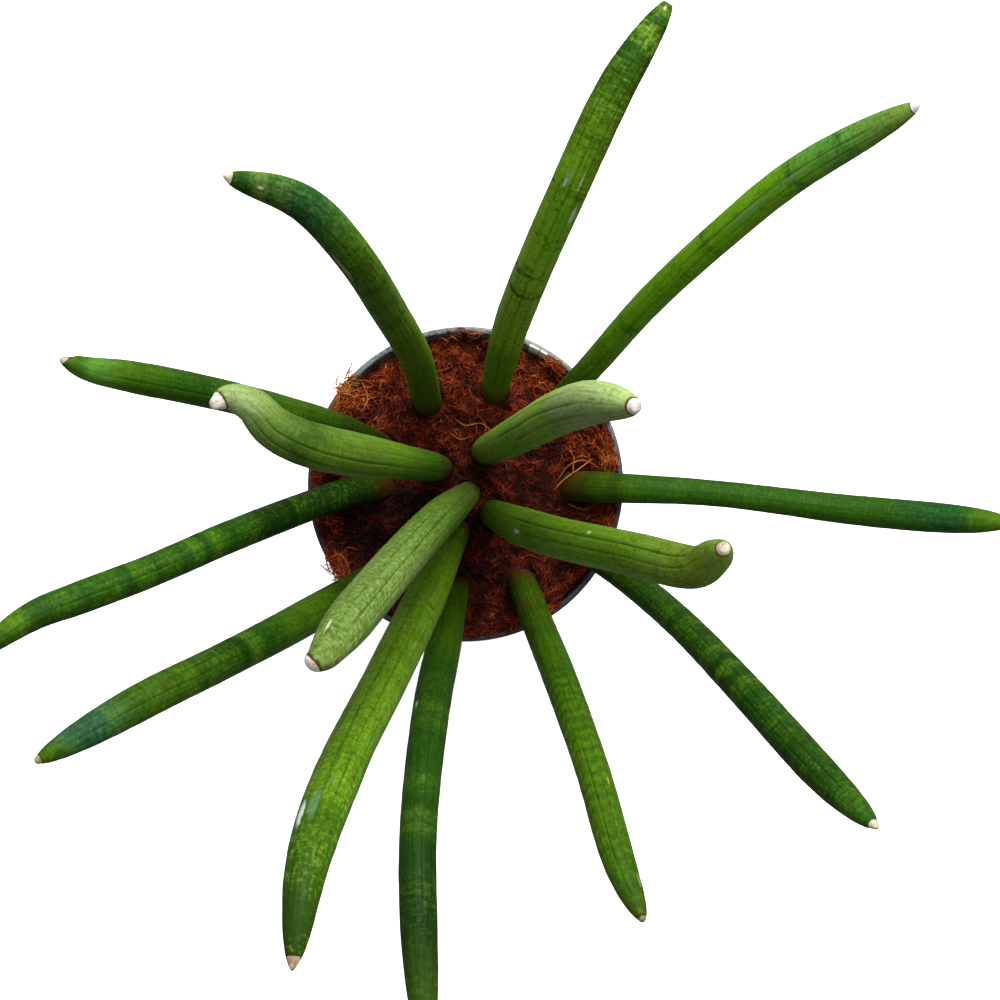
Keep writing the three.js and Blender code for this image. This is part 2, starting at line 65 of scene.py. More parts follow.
# girth, taper, roll and path are those of the imported leaves.
# tip: radius at the rim of the green skin, and length and end radius of the dry stub.
# slant: tilt of the rim, and the bearing that it falls back at.
# dry: colours of the stub. ring: width and colour of the ring around it.
# ground: skin colours by distance from the foot; the blue-green stops near some leaves' ends stand for a
# painted reflection of the sky.
# pale and dark: colours of the cross bands.
# bands: centre, half width along the leaf and strength, pale above 0 and dark below.
# pulse: start, stop, pitch and strength of even cross bands.
# bricks: strength of the short blocks between grooves.
# ripple: strength of the fine cross strokes. mottle: strength of the small blotches.
# painted_lit_side: bearing that is painted paler than the far side, as painted light and painted shade,
# and by what share.
# grooves: number, start, stop and strength.
# marks: spots, as distance, bearing, half length, half width, colour and strength. The near-white spots
# are painted highlights, the pale grey-green film is partly painted sheen, and the blue-green spot on
# one leaf is a painted reflection of the sky.
# Bearing 0 faces the camera, and positive bearings lie on the right, seen along the leaf's growth.
LEAVES = {
    "leaf_01": dict(
        slot="leaf_deep", girth=(15, 15, 15), taper=58, tip=(2.5, 3.2, 0.7), roll=0, dry="cream",
        painted_lit_side=(90, 0.3),
        path=((-20, 43, 0), (-21, 52, 92), (-28, 61, 165), (-39, 75, 212), (-56, 90, 232),
              (-83, 97, 243)),
        ground=((190, "lime"), (215, "grass"), (235, "fresh"), (258, "fresh"), (278, "sky_reflection_teal"),
                (302, "leaf")),
        pale="glaucous", dark="night", bricks=0.35, ripple=0.35, mottle=0.38,
        bands=((150, 14, 0.35), (182, 2, -0.5), (190, 5, 0.2), (205, 2.5, -0.8), (212, 3, 0.4),
               (219, 2, -0.5), (226, 3, 0.4), (233, 2, -0.5), (238, 3, 0.4), (250, 3, -0.3),
               (290, 3, 0.6), (298, 3, 0.9), (305, 2, -0.5)),
        marks=((251, -108, 9, 0.9, "straw", 0.8), (298, -48, 1.2, 0.5, "painted_glint", 0.35)),
    ),
    "leaf_02": dict(
        slot="leaf_mid", girth=(14.6, 16.1, 15.4), taper=62, tip=(2.0, 1.2, 1.2), roll=250, dry="white",
        path=((15, 49, 0), (21, 63, 85), (30, 78, 150), (44, 103, 197), (61, 136, 220), (81, 167, 228)),
        ground=((105, "lime"), (130, "citrus"), (205, "citrus"), (230, "spring"), (258, "lime"),
                (280, "fresh"), (303, "leaf"), (325, "mid")),
        pale="frost", dark="night", bricks=1.1, ripple=0.6, mottle=0.3, pulse=(55, 240, 5.0, 0.6),
        bands=((152, 7, 0.3), (166, 3, -0.3), (173, 4, 0.3), (185, 3, -0.9), (191, 3, 0.3),
               (200, 4, -0.8), (212, 6, 0.5), (222, 2, -0.5), (232, 5, 0.45), (246, 2, -0.4),
               (254, 2, 0.3), (268, 3, -0.3), (279, 3, 0.3), (290, 3, -0.3), (301, 5, -0.5),
               (309, 3.5, 1.0), (315.5, 2.2, -0.9), (320.5, 2, 0.6)),
        grooves=((-2, 70, 240, 0.35), (-1, 60, 300, 0.5), (0, 60, 318, 0.7), (1, 60, 300, 0.6),
                 (2, 70, 300, 0.4)),
        marks=((237, 45, 5, 1.1, "painted_glint", 0.6), (252, -18, 4, 1.2, "film_and_sheen", 0.5),
               (250, -20, 2, 0.5, "painted_glint", 0.5), (252, 24, 4, 0.5, "painted_glint", 0.4),
               (321.5, -5, 1.5, 0.6, "cream", 0.9)),
    ),
    "leaf_03": dict(
        slot="leaf_mid", girth=(12.2, 13.2, 14), taper=64, tip=(2.3, 3.2, 0.9), roll=211, dry="white",
        path=((42, 36, 0), (63.5, 55.5, 58), (84.5, 75.5, 108), (111, 96, 152), (137.5, 113.5, 186),
              (176, 130, 222)),
        ground=((40, "shade"), (85, "fresh"), (105, "lime"), (130, "spring"), (250, "spring"),
                (270, "jade"), (285, "jade"), (306, "glaucous")),
        pale="frost", dark="night", bricks=0.55, ripple=0.4, mottle=0.3,
        bands=((100, 4, 0.3), (118, 3, -0.2), (128, 4, 0.3), (141, 2.5, -0.8), (156, 9, 0.3),
               (172, 2, -0.3), (186, 4, -0.4), (197, 5, 0.3), (207, 3, -0.6), (222, 5, 0.35),
               (236, 3, 0.3), (258, 2.5, -0.7), (268, 4, 0.25), (282, 4, -0.4), (309, 4, 0.7)),
        grooves=((0, 195, 300, 0.75), (1, 95, 290, 0.45), (-1, 230, 280, 0.2)),
        marks=((235, 12, 12, 1.5, "film_and_sheen", 0.35), (258, 10, 9, 1.3, "film_and_sheen", 0.3)),
    ),
    "leaf_04": dict(
        slot="leaf_deep", girth=(16, 12.9, 14.8), taper=55, tip=(1.9, 3.4, 0.8), roll=120, dry="cream",
        path=((56, -1, 0), (80, -3.5, 25), (126, -6.5, 30), (184, -14.5, 42), (220, -19, 58),
              (256, -23, 82)),
        ground=((60, "olive"), (80, "leaf"), (190, "leaf"), (228, "sky_reflection_teal"), (238, "leaf"),
                (248, "fresh")),
        pale="lime", dark="night", bricks=0.25, ripple=0.3, mottle=0.13,
        bands=((50, 3, -0.5), (59, 2, 0.3), (66, 2.2, -0.7), (73, 4, 0.3), (96, 4, 0.2), (130, 6, 0.15),
               (241, 3, 0.35), (249, 3, 0.2)),
        grooves=((2, 60, 200, 0.12),),
    ),
    "leaf_05": dict(
        slot="leaf_deep", girth=(13.4, 14, 14.6), taper=60, tip=(1.9, 2.8, 1.1), roll=123, dry="cream",
        path=((52, -28, 0), (75, -46, 55), (96.5, -67.5, 108), (116, -92, 155), (139, -122, 200),
              (154, -139, 232)),
        ground=((110, "shade"), (130, "deep"), (290, "deep"), (302, "leaf")),
        pale="sage", dark="night", bricks=0.5, ripple=0.4, mottle=0.2,
        bands=((155, 2, 0.3), (162, 2, -0.4), (170, 3, 0.3), (183, 3, -0.4), (196, 3.5, 0.5),
               (204, 2, -0.9), (209, 2.6, 0.75), (216, 2.2, -0.8), (222, 3, 0.6), (230, 2.2, -0.7),
               (236, 2, 0.25), (247, 4, 0.2), (262, 3, -0.4), (280, 3, -0.3), (297, 5, 0.35)),
        grooves=((0, 215, 300, 0.6), (1, 215, 290, 0.5)),
    ),
    "leaf_06": dict(
        slot="leaf_mid", girth=(15, 15.3, 14.1), taper=54, tip=(1.7, 1.6, 1.3), roll=86, dry="grey",
        path=((29, -51, 0), (36, -71, 55), (44.5, -94, 105), (55.5, -127, 150), (64, -159, 180),
              (72, -179, 200)),
        ground=((38, "shade"), (65, "olive"), (100, "olive"), (125, "mid"), (160, "mid"), (200, "fresh"),
                (235, "fresh"), (262, "mid"), (276, "olive")),
        pale="lime", dark="deep", bricks=0.45, ripple=0.3, mottle=0.36, pulse=(130, 262, 5.8, 0.7),
        bands=((86, 3, -0.5), (97, 4, 0.3), (114, 4, -0.4), (128, 4, 0.2), (150, 4, -0.6),
               (200, 22, 0.25), (268, 3, -0.4)),
        grooves=((-1, 180, 250, 0.25), (0, 150, 268, 0.55), (1, 195, 266, 0.85), (2, 200, 250, 0.2)),
        marks=((78, 45, 7, 3.5, "rust", 0.3), (218, -22, 2.2, 0.7, "tan", 0.9),
               (264, -38, 4, 1.0, "straw", 0.5)),
    ),
    "leaf_07": dict(
        slot="leaf_deep", girth=(13.6, 16.4, 14.9), taper=70, tip=(2.0, 3.4, 0.8), roll=71, dry="cream",
        path=((-5, -54, 0), (-8, -77, 75), (-12, -105, 130), (-15, -145, 170), (-14, -181, 190),
              (-10, -229, 206)),
        ground=((130, "fresh"), (150, "leaf"), (225, "leaf"), (250, "deep"), (275, "pine"),
                (300, "moss")),
        pale="sage", dark="night", bricks=0.5, ripple=0.3, mottle=0.2,
        bands=((162, 3, 0.2), (180, 3, 0.6), (188, 2.5, 0.4), (195, 2, -0.4), (206, 8, -0.3),
               (216, 3, 0.3), (226, 3, -0.5), (231.5, 2, 0.55), (237.5, 2, 0.6), (248, 5, -0.5),
               (262, 2, 0.25), (290, 12, -0.3)),
        grooves=((-1, 190, 280, 0.3), (0, 190, 290, 0.45), (1, 190, 270, 0.4)),
        marks=((177, 64, 2.6, 0.8, "painted_glint", 0.8), (217, 8, 2, 0.7, "film_and_sheen", 0.3)),
    ),
    "leaf_08": dict(
        slot="leaf_mid", girth=(15.6, 17.9, 16.1), taper=90, tip=(2.1, 3.8, 0.7), roll=56, dry="tan",
        painted_lit_side=(-90, 0.16),
        path=((-6, -25, 0), (-14, -54, 110), (-26, -87, 205), (-34.5, -110, 280), (-40.5, -134, 325),
              (-42.5, -162, 347)),
        ground=((40, "shade"), (72, "mid"), (98, "grass"), (127, "lime"), (300, "lime"), (330, "grass"),
                (355, "grass"), (380, "mid"), (404, "shade")),
        pale="frost", dark="deep", bricks=0.7, ripple=0.5, mottle=0.44,
        bands=((183.5, 2, -0.3), (188, 2, 0.5), (192, 1.5, -0.9), (200, 4, 0.3), (214, 2, -0.3),
               (228, 4, 0.3), (240, 3, -0.3), (250, 3, 0.3), (262, 3, -0.3), (272, 4, 0.3),
               (290, 4, 0.25), (300, 3, -0.3), (318, 4, 0.3), (334, 3, -0.3), (350, 5, 0.35),
               (368, 5, -0.6), (380, 3, 0.15), (400, 7, -0.7)),
        grooves=((-1, 190, 385, 0.4), (0, 190, 392, 0.6), (1, 200, 376, 0.85), (2, 300, 385, 0.55)),
        marks=((367, 76, 6, 1.3, "painted_glint", 0.8), (364, 44, 7, 1.8, "film_and_sheen", 0.35),
               (226, -22, 2.4, 0.9, "straw", 0.45), (215, 26, 1.8, 0.7, "straw", 0.4),
               (352, 14, 1.6, 0.5, "film_and_sheen", 0.4)),
    ),
    "leaf_09": dict(
        slot="leaf_pale", girth=(13.4, 16.6, 16.6), taper=50, tip=(3.4, 1.5, 2.8), roll=40, dry="white",
        slant=(25, 200),
        ring=(0.9, "bark"), painted_lit_side=(-90, 0.12),
        path=((1, -5, 0), (-9, -24, 140), (-20, -43, 225), (-29.5, -58, 268), (-35.5, -68, 294),
              (-39, -73.5, 303), (-43.5, -77, 307)),
        ground=((45, "olive"), (60, "bronze"), (95, "bronze"), (140, "grass"), (190, "grass"),
                (235, "sage"), (290, "glaucous")),
        pale="chalk", dark="moss", bricks=0.14, ripple=0.7, mottle=0.5,
        bands=((225, 4, -0.12), (250, 3, 0.1), (264, 4, 0.12), (300, 5, 0.12), (336, 4, 0.12)),
        grooves=((0, 185, 345, 1.0), (1, 215, 330, 0.7), (-1, 230, 300, 0.15), (2, 240, 330, 0.25)),
        marks=((343, 57, 5, 0.6, "cream", 0.9), (345, 47, 1.4, 1.4, "moss", 0.7)),
    ),
    "leaf_10": dict(
        slot="leaf_pale", girth=(14.4, 15.4, 15.6), taper=58, tip=(2.4, 1.4, 1.9), roll=186, dry="white",
        ring=(0.9, "bark"),
        painted_lit_side=(-90, 0.24),
        path=((9.5, 17, 0), (20, 10.5, 130), (30, 8.5, 215), (39, 8.5, 268), (49, 7.5, 305),
              (59, 3.2, 330)),
        ground=((45, "grass"), (60, "lime"), (95, "frost"), (190, "frost"), (230, "spring"),
                (260, "frost"), (285, "citrus"), (305, "frost"), (325, "chalk")),
        pale="chalk", dark="moss", bricks=0.12, ripple=0.4, mottle=0.42,
        bands=((306, 5, -0.1), (350, 6, 0.1)),
        grooves=((0, 205, 345, 1.0), (-1, 215, 335, 0.5), (1, 240, 350, 0.8)),
        marks=((352, -14, 8, 0.4, "moss", 0.6), (300, -32, 8, 0.6, "moss", 0.3)),
    ),
    "leaf_11": dict(
        slot="leaf_mid", girth=(14.6, 16.8, 16), taper=55, tip=(2.2, 1.4, 1.8), roll=147, dry="cream",
        ring=(1.0, "russet"),
        path=((14, -15, 0), (26, -25, 110), (42, -33, 185), (65, -40, 240), (82.5, -45, 268),
              (88.5, -42, 282), (90, -39, 298)),
        ground=((50, "olive"), (75, "fresh"), (127, "grass"), (170, "lime"), (200, "grass"),
                (235, "lime"), (280, "lime"), (302, "sage"), (322, "bronze"), (345, "frost")),
        pale="glaucous", dark="deep", bricks=0.3, ripple=0.6, mottle=0.46,
        bands=((160, 5, -0.2), (196, 4, -0.2), (215, 6, 0.15), (234, 3, -0.2), (246, 4, -0.2),
               (262, 5, 0.15), (290, 3, -0.3), (300, 3.5, 0.5), (306, 1.5, -0.4), (310, 2, 0.3),
               (318, 5, -0.4)),
        grooves=((0, 170, 330, 1.0), (1, 175, 340, 0.6), (2, 190, 300, 0.25), (-1, 200, 300, 0.15)),
        marks=((182, 34, 7, 1.6, "film_and_sheen", 0.6), (183, 32, 5, 1.0, "painted_glint", 0.8),
               (260, -14, 1.5, 0.7, "painted_glint", 0.7), (316, 92, 9, 1.6, "sky_reflection_sea", 0.5)),
    ),
    "leaf_12": dict(
        slot="leaf_pale", girth=(13.4, 14.2, 16.5), taper=56, tip=(3.3, 4.2, 2.0), roll=302, dry="white",
        ring=(0.8, "bark"),
        path=((-13.5, 8.5, 0), (-16.5, 2, 105), (-29, -1.7, 190), (-42, -3, 242), (-52.5, -1, 259),
              (-61, 3.3, 265), (-67.5, 10.3, 269), (-75, 12.8, 272), (-80.7, 9.3, 275)),
        ground=((100, "loam"), (130, "mid"), (160, "mid"), (180, "fresh"), (205, "grass"), (228, "lime"),
                (255, "sage"), (285, "sage"), (302, "moss"), (316, "glaucous"), (326, "chalk")),
        pale="glaucous", dark="moss", bricks=0.22, ripple=0.8, mottle=0.2, pulse=(205, 305, 6, 0.16),
        bands=((222, 2, -0.2), (228, 2, -0.3), (240, 3, -0.15), (252, 3, 0.12), (268, 3, -0.2),
               (284, 3, -0.2)),
        grooves=((0, 190, 322, 0.7), (1, 225, 326, 0.9), (2, 180, 300, 0.25), (3, 190, 260, 0.15)),
        marks=((283, 68, 5, 1.2, "moss", 0.35), (246, 74, 4, 0.8, "rust", 0.25)),
    ),
    "leaf_13": dict(
        slot="leaf_deep", girth=(13.4, 14.2, 14), taper=60, tip=(2.0, 1.4, 1.2), roll=333, dry="pink",
        slant=(52, 140),
        path=((-44, 20, 0), (-61, 25, 45), (-86, 29, 95), (-111, 32, 135), (-134, 34, 165),
              (-147, 35, 180), (-156, 38, 190)),
        ground=((80, "shade"), (125, "fresh"), (160, "leaf"), (205, "leaf"), (230, "fresh"),
                (246, "jade"), (252, "mid")),
        pale="sage", dark="night", bricks=0.3, ripple=0.35, mottle=0.22,
        bands=((96, 8, 0.2), (118, 5, -0.3), (150, 5, -0.2), (190, 5, -0.3), (212, 6, 0.1),
               (225, 3, -0.2), (243, 5, 0.3)),
        grooves=((-1, 185, 245, 0.3), (0, 178, 240, 0.5)),
    ),
    "leaf_14": dict(
        slot="leaf_deep", girth=(14, 14.9, 14.7), taper=75, tip=(2.0, 3.4, 0.8), roll=11, dry="cream",
        painted_lit_side=(90, 0.14),
        path=((-44, -1, 0), (-59, -6, 28), (-79, -15, 48), (-108, -30, 85), (-137, -45, 108),
              (-164, -57, 127), (-181.5, -65, 137.5), (-203, -82, 150)),
        ground=((40, "shade"), (66, "pine"), (125, "pine"), (145, "leaf"), (240, "leaf"), (252, "mid"),
                (270, "leaf")),
        pale="lime", dark="night", bricks=0.6, ripple=0.4, mottle=0.22,
        bands=((76, 3, 0.1), (84, 2, -0.3), (103, 3.5, 0.25), (109, 2.2, -0.9), (116, 2, -0.5),
               (124, 4, -0.4), (134, 4, 0.3), (147, 3, -0.8), (155, 3.5, 0.65), (161, 1.6, -1),
               (166, 2.5, 0.6), (172, 1.6, -0.5), (180, 2, 0.25), (186, 2, -0.3), (193, 4, 0.55),
               (200, 2.5, -0.8), (208, 3, 0.25), (220, 2, -0.4), (230, 3, 0.2), (239, 4, -0.5),
               (250, 4, 0.6), (262, 4, -0.5)),
        grooves=((0, 110, 235, 0.6), (1, 110, 240, 0.55), (2, 110, 230, 0.2)),
        marks=((50, -4, 4.0, 1.6, "rust", 0.55),),
    ),
    "leaf_15": dict(
        slot="leaf_deep", girth=(14.8, 16.3, 15), taper=64, tip=(1.9, 2.0, 1.4), roll=20, dry="yellow",
        path=((-39, -43, 0), (-60, -59, 70), (-77, -71, 120), (-97, -83, 160), (-121, -96, 190),
              (-156, -117, 215)),
        ground=((110, "shade"), (130, "fresh"), (155, "fresh"), (180, "leaf"), (203, "deep"),
                (230, "mid"), (258, "mid"), (268, "sky_reflection_sea"), (282, "sky_reflection_sea"), (292, "mid")),
        pale="sage", dark="night", bricks=0.6, ripple=0.4, mottle=0.28,
        bands=((148, 5, 0.2), (157, 2, -0.3), (165, 3, 0.3), (174, 3, -0.3), (183, 4, -0.4),
               (194.5, 3.8, 0.95), (201, 2.4, -0.9), (214, 4, 0.2), (226, 2, -0.4), (232, 3, 0.25),
               (240, 2, -0.2), (248, 3, 0.2), (257, 3, -0.4), (265, 2.5, 0.35), (268, 1.2, 0.6),
               (276, 5, -0.2), (286, 3, 0.25)),
        grooves=((-1, 195, 250, 0.25), (0, 195, 290, 0.7), (1, 185, 292, 0.6), (2, 190, 270, 0.3)),
        marks=((243, 27, 1.8, 0.9, "rust", 0.6), (262, 5, 1.6, 0.6, "rust", 0.3)),
    ),
}

# Skin colours, as seen on screen in full light, with a few colours of painted light among them
PALETTE = {
    "night": (20, 44, 12),
    "pine": (28, 60, 12),
    "shade": (46, 72, 10),
    "olive": (64, 92, 14),
    "deep": (36, 78, 12),
    "leaf": (48, 96, 16),
    "moss": (60, 92, 22),
    "mid": (64, 106, 14),
    "fresh": (76, 120, 16),
    "grass": (92, 136, 16),
    "lime": (106, 152, 22),
    "spring": (110, 174, 22),
    "citrus": (146, 194, 44),
    "bronze": (112, 136, 34),
    "sage": (104, 144, 38),
    "glaucous": (112, 146, 60),
    "frost": (132, 176, 56),
    "chalk": (160, 188, 116),
    "jade": (92, 154, 58),
    # These two blue-greens stand for a painted reflection of the sky on the leaves
    "sky_reflection_teal": (32, 88, 42),
    "sky_reflection_sea": (50, 100, 66),
    "loam": (78, 80, 15),
    "umber": (52, 34, 20),
    "bark": (84, 44, 30),
    "russet": (126, 68, 54),
    "rust": (104, 66, 28),
    "tan": (200, 160, 90),
    "straw": (176, 178, 118),
    "cream": (224, 214, 186),
    # The pale film is partly a painted sheen, and the near white is a painted highlight, not the skin's
    # own colour
    "film_and_sheen": (120, 160, 130),
    "painted_glint": (236, 244, 240),
}
FOOT_EARTH = (100, 54, 26)  # earth that sticks to the leaves' feet
THIN_RING = (0.3, "umber")  # width and colour of the ring around most dry ends

# Dry leaf ends: hollows, body and crests
DRY = {
    "white": ((184, 162, 140), (240, 230, 218), (255, 251, 246)),
    "cream": ((150, 126, 92), (214, 200, 168), (240, 232, 208)),
    "tan": ((98, 72, 50), (168, 142, 110), (206, 186, 152)),
    "pink": ((140, 108, 84), (196, 166, 142), (218, 200, 182)),
    "yellow": ((110, 90, 48), (172, 158, 104), (198, 186, 146)),
    "grey": ((90, 76, 58), (134, 124, 102), (168, 160, 138)),
}


# ---- Colour and mesh helpers ----


EXPOSURE = 2.2  # how much brighter the light makes a surface than its own colour


def surface_colour(rgb):
    """The linear colour of a surface that the light shows as rgb on screen, each from 0 to 255."""
    shares = (value / 255 for value in rgb)
    shown = (v / 12.92 if v <= 0.04045 else ((v + 0.055) / 1.055) ** 2.4 for v in shares)
    return tuple(value / EXPOSURE for value in shown) + (1.0,)


def shades(*stops):
    """Ramp stops from places between 0 and 1 and the colours that the light shows there."""
    return [(place, surface_colour(rgb)) for place, rgb in stops]


def smoothstep(value, low, high):
    share = np.clip((value - low) / (high - low), 0, 1)
    return share * share * (3 - 2 * share)


def waves(points, seed, count=5):
    """Smooth random heights, about -1 to 1, from a few seeded waves. points: rows of coordinates."""
    random = np.random.RandomState(seed)
    total = np.zeros(points.shape[:-1])
    for _ in range(count):
        direction = random.normal(size=points.shape[-1])
        total += np.sin(points @ direction + random.uniform(0, 2 * math.pi))
    return total / math.sqrt(count)


def smooth_curve(points, steps):
    """A Catmull-Rom curve through points, with a number of steps to each stretch."""
    points = np.asarray(points, float)
    before = 2 * points[0] - points[1]
    after = 2 * points[-1] - points[-2]
    knots = np.vstack([before, points, after])
    t = np.linspace(0, 1, steps, endpoint=False)[:, None]
    curve = []
    for p0, p1, p2, p3 in zip(knots, knots[1:], knots[2:], knots[3:]):
        curve.append(0.5 * (2 * p1 + (p2 - p0) * t + (2 * p0 - 5 * p1 + 4 * p2 - p3) * t**2
                            + (3 * p1 - p0 - 3 * p2 + p3) * t**3))
    return np.vstack(curve + [points[-1][None]])


def add_mesh(name, points, faces, materials, attributes=None, face_materials=None):
    """A smooth piece from points in millimetres. attributes: one number or vector for each point."""
    mesh = bpy.data.meshes.new(name)
    mesh.from_pydata((np.asarray(points) * MM).tolist(), [], [tuple(face) for face in faces])
    mesh.polygons.foreach_set("use_smooth", [True] * len(mesh.polygons))
    for material in materials:
        mesh.materials.append(material)
    if face_materials is not None:
        mesh.polygons.foreach_set("material_index", face_materials)
    for key, values in (attributes or {}).items():
        values = np.asarray(values, np.float32)
        kind, field = ("FLOAT", "value") if values.ndim == 1 else ("FLOAT_VECTOR", "vector")
        layer = mesh.attributes.new(key, kind, "POINT")
        layer.data.foreach_set(field, values.ravel())
    mesh.update()
    piece = bpy.data.objects.new(name, mesh)
    bpy.context.scene.collection.objects.link(piece)
    return piece


def dress(piece, node):
    """Puts a piece in the frame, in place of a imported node."""
    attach(piece, "root")
    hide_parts(node)


def ring_faces(rings, sides, first=0):
    """Quads between rings of points that are listed ring by ring. The two ends stay open."""
    ring, side = np.meshgrid(np.arange(rings - 1), np.arange(sides), indexing="ij")
    a = first + ring * sides + side
    b = first + ring * sides + (side + 1) % sides
    return np.stack([a, b, b + sides, a + sides], -1).reshape(-1, 4).tolist()


def drum_faces(rings, sides, first=0):
    """Faces of a closed tube with flat ends."""
    last = first + (rings - 1) * sides
    return ring_faces(rings, sides, first) + [
        list(range(first + sides - 1, first - 1, -1)),
        list(range(last, last + sides)),
    ]


def solid_faces(rings, sides):
    """Faces of a closed solid from its rings of points and the two end points listed after them."""
    side = np.arange(sides)
    following = (side + 1) % sides
    end = rings * sides
    last_ring = end - sides
    start_fan = np.stack([np.full(sides, end), following, side], -1)
    end_fan = np.stack([np.full(sides, end + 1), last_ring + side, last_ring + following], -1)
    return ring_faces(rings, sides) + start_fan.tolist() + end_fan.tolist()


def around(angle, right, up):
    """Directions at an angle around an axis, from two directions square to it."""
    return np.cos(angle)[..., None] * right + np.sin(angle)[..., None] * up


# ---- Shader helper ----


class Nodes:
    """Short calls that add and join the nodes of a tree."""

    def __init__(self, tree):
        self.tree = tree

    def node(self, kind, inputs=(), output=0, **settings):
        made = self.tree.nodes.new("ShaderNode" + kind)
        for key, value in settings.items():
            setattr(made, key, value)
        for key, value in dict(inputs).items():
            self.put(made.inputs[key], value)
        return made.outputs[output]

    def put(self, socket, value):
        if isinstance(value, bpy.types.NodeSocket):
            self.tree.links.new(value, socket)
        else:
            socket.default_value = value

    def maths(self, operation, a, b=0.0, c=0.0, clamp=False):
        return self.node("Math", {0: a, 1: b, 2: c}, operation=operation, use_clamp=clamp)

    def between(self, value, low, high, start=0.0, end=1.0):
        """value mapped smoothly from low..high to start..end, and held beyond them."""
        inputs = {"Value": value, "From Min": low, "From Max": high, "To Min": start, "To Max": end}
        return self.node("MapRange", inputs, interpolation_type="SMOOTHSTEP")

    def mix(self, share, a, b, blend="MIX"):
        return self.node("Mix", {0: share, 6: a, 7: b}, output=2, data_type="RGBA", blend_type=blend)

    def attribute(self, name, output=2):
        return self.node("Attribute", output=output, attribute_name=name)

    def noise(self, vector, scale, shift=(0.0, 0.0, 0.0), detail=2.0, roughness=0.5):
        """Noise from 0 to 1. scale: one number, or one for each axis."""
        scale = np.broadcast_to(scale, 3).tolist()
        place = self.node("Mapping", {"Vector": vector, "Scale": scale, "Location": shift})
        inputs = {"Vector": place, "Scale": 1.0, "Detail": detail, "Roughness": roughness}
        return self.node("TexNoise", inputs)

    def ramp(self, value, stops):
        """stops: place from 0 to 1, and linear colour."""
        made = self.node("ValToRGB", {0: value}).node
        elements = made.color_ramp.elements
        while len(elements) < len(stops):
            elements.new(0.5)
        for element, (place, colour) in zip(elements, stops):
            element.position = place
            element.color = colour
        return made.outputs[0]

    def bump(self, height, distance, strength=1.0, below=None):
        inputs = {"Height": height, "Distance": distance, "Strength": strength}
        if below is not None:
            inputs["Normal"] = below
        return self.node("Bump", inputs)


class Shader(Nodes):
    """A material with one Principled surface."""

    def __init__(self, name):
        self.material = bpy.data.materials.new(name)
        self.material.use_nodes = True
        super().__init__(self.material.node_tree)
        self.surface = self.tree.nodes["Principled BSDF"]

    def set(self, **inputs):
        for key, value in inputs.items():
            self.put(self.surface.inputs[key.replace("_", " ")], value)


# ---- Leaf shape ----

RING_STEP = 1.5
BURIED_STEP = 6
FLUTE = 360 / FLUTES
# Places of the points across one flute, in degrees from its groove
FLUTE_POINTS = (0, 2.4, 5.5, 11, FLUTE - 11, FLUTE - 5.5, FLUTE - 2.4)
GROOVE_DEPTH = 0.42
GROOVE_WIDTH = 0.36  # half width of a groove, from its line
LINE_WIDTH = 0.30  # half width of the dark line in it
FAINT = 0.2  # strength of the grooves that no leaf names
SKIN_LIP = 0.12  # how far the green skin stands out around the dry end
RIM_ZONE = 6  # length of skin that slants and wavers at the dry end
BAND_SHARE = 0.6  # how much of its colour a cross band of strength 1 shows
BAND_EDGE = 2.6  # how sharply a cross band ends
CURVE_STEPS = 60  # steps of the centreline from one point of the path to the next
TANGENT_REACH = 0.25  # half the length over which a direction along the leaf is taken
FOOT_LEAN = 0.12  # share of the first stretch of the path that goes on below the coir's surface
BURIED_MARGIN = 4  # length of fine skin below the coir's surface
LIP_RINGS = (5, 4, 3, 2.2, 1.5, 1, 0.6, 0.3, 0.1, 0)  # distances back from the skin's rim
END_DIMPLE = 0.02  # depth of the middle of the dry end
# Fullness of the dry stub by the share of its length
STUB_PROFILE = ((0.1, 1.0), (0.25, 0.99), (0.42, 0.97), (0.6, 0.93), (0.75, 0.85), (0.87, 0.72),
                (0.95, 0.5), (0.99, 0.24))


class Axis:
    """The curve through a leaf's middle, from its buried foot, by distance along it."""

    def __init__(self, leaf):
        path = np.array(leaf["path"], float)
        foot = path[0] - FOOT_LEAN * (path[1] - path[0])
        foot[2] = -ROOT_DEPTH
        points = np.vstack([foot, path])
        points[:, 2] += SOIL_LEVEL
        self.curve = smooth_curve(points, CURVE_STEPS)
        steps = np.linalg.norm(np.diff(self.curve, axis=0), axis=1)
        self.along = np.concatenate([[0], np.cumsum(steps)])
        self.length = self.along[-1]
        self.roll = math.radians(leaf["roll"])

    def at(self, distances):
        return np.stack([np.interp(distances, self.along, self.curve[:, k]) for k in range(3)], -1)

    def frames(self, distances):
        """Normal, binormal and tangent at each distance, carried along without twist."""
        tangents = self.at(distances + TANGENT_REACH) - self.at(distances - TANGENT_REACH)
        tangents /= np.linalg.norm(tangents, axis=1)[:, None]
        normal = np.array([math.cos(self.roll), math.sin(self.roll), 0])
        normals = []
        for tangent in tangents:
            normal = normal - tangent * (normal @ tangent)
            normal /= np.linalg.norm(normal)
            normals.append(normal)
        normals = np.array(normals)
        return normals, np.cross(tangents, normals), tangents


def crest_radius(leaf, length, distance):
    """Radius of the green skin over its flutes, which closes on the dry end in one full curve."""
    base, middle, shoulder = (girth / 2 for girth in leaf["girth"])
    lip, stub, _ = leaf["tip"]
    opening = length - leaf["taper"]
    along = (distance - ROOT_DEPTH) / (opening - ROOT_DEPTH)
    lower = base + (middle - base) * smoothstep(along, 0, 0.5)
    upper = middle + (shoulder - middle) * smoothstep(along, 0.5, 1)
    full = np.where(along < 0.5, lower, upper)
    closing = np.clip((distance - opening) / (length - stub - opening), 0, 1) ** 2.5
    return np.sqrt(full**2 * (1 - closing) + (lip + SKIN_LIP) ** 2 * closing)


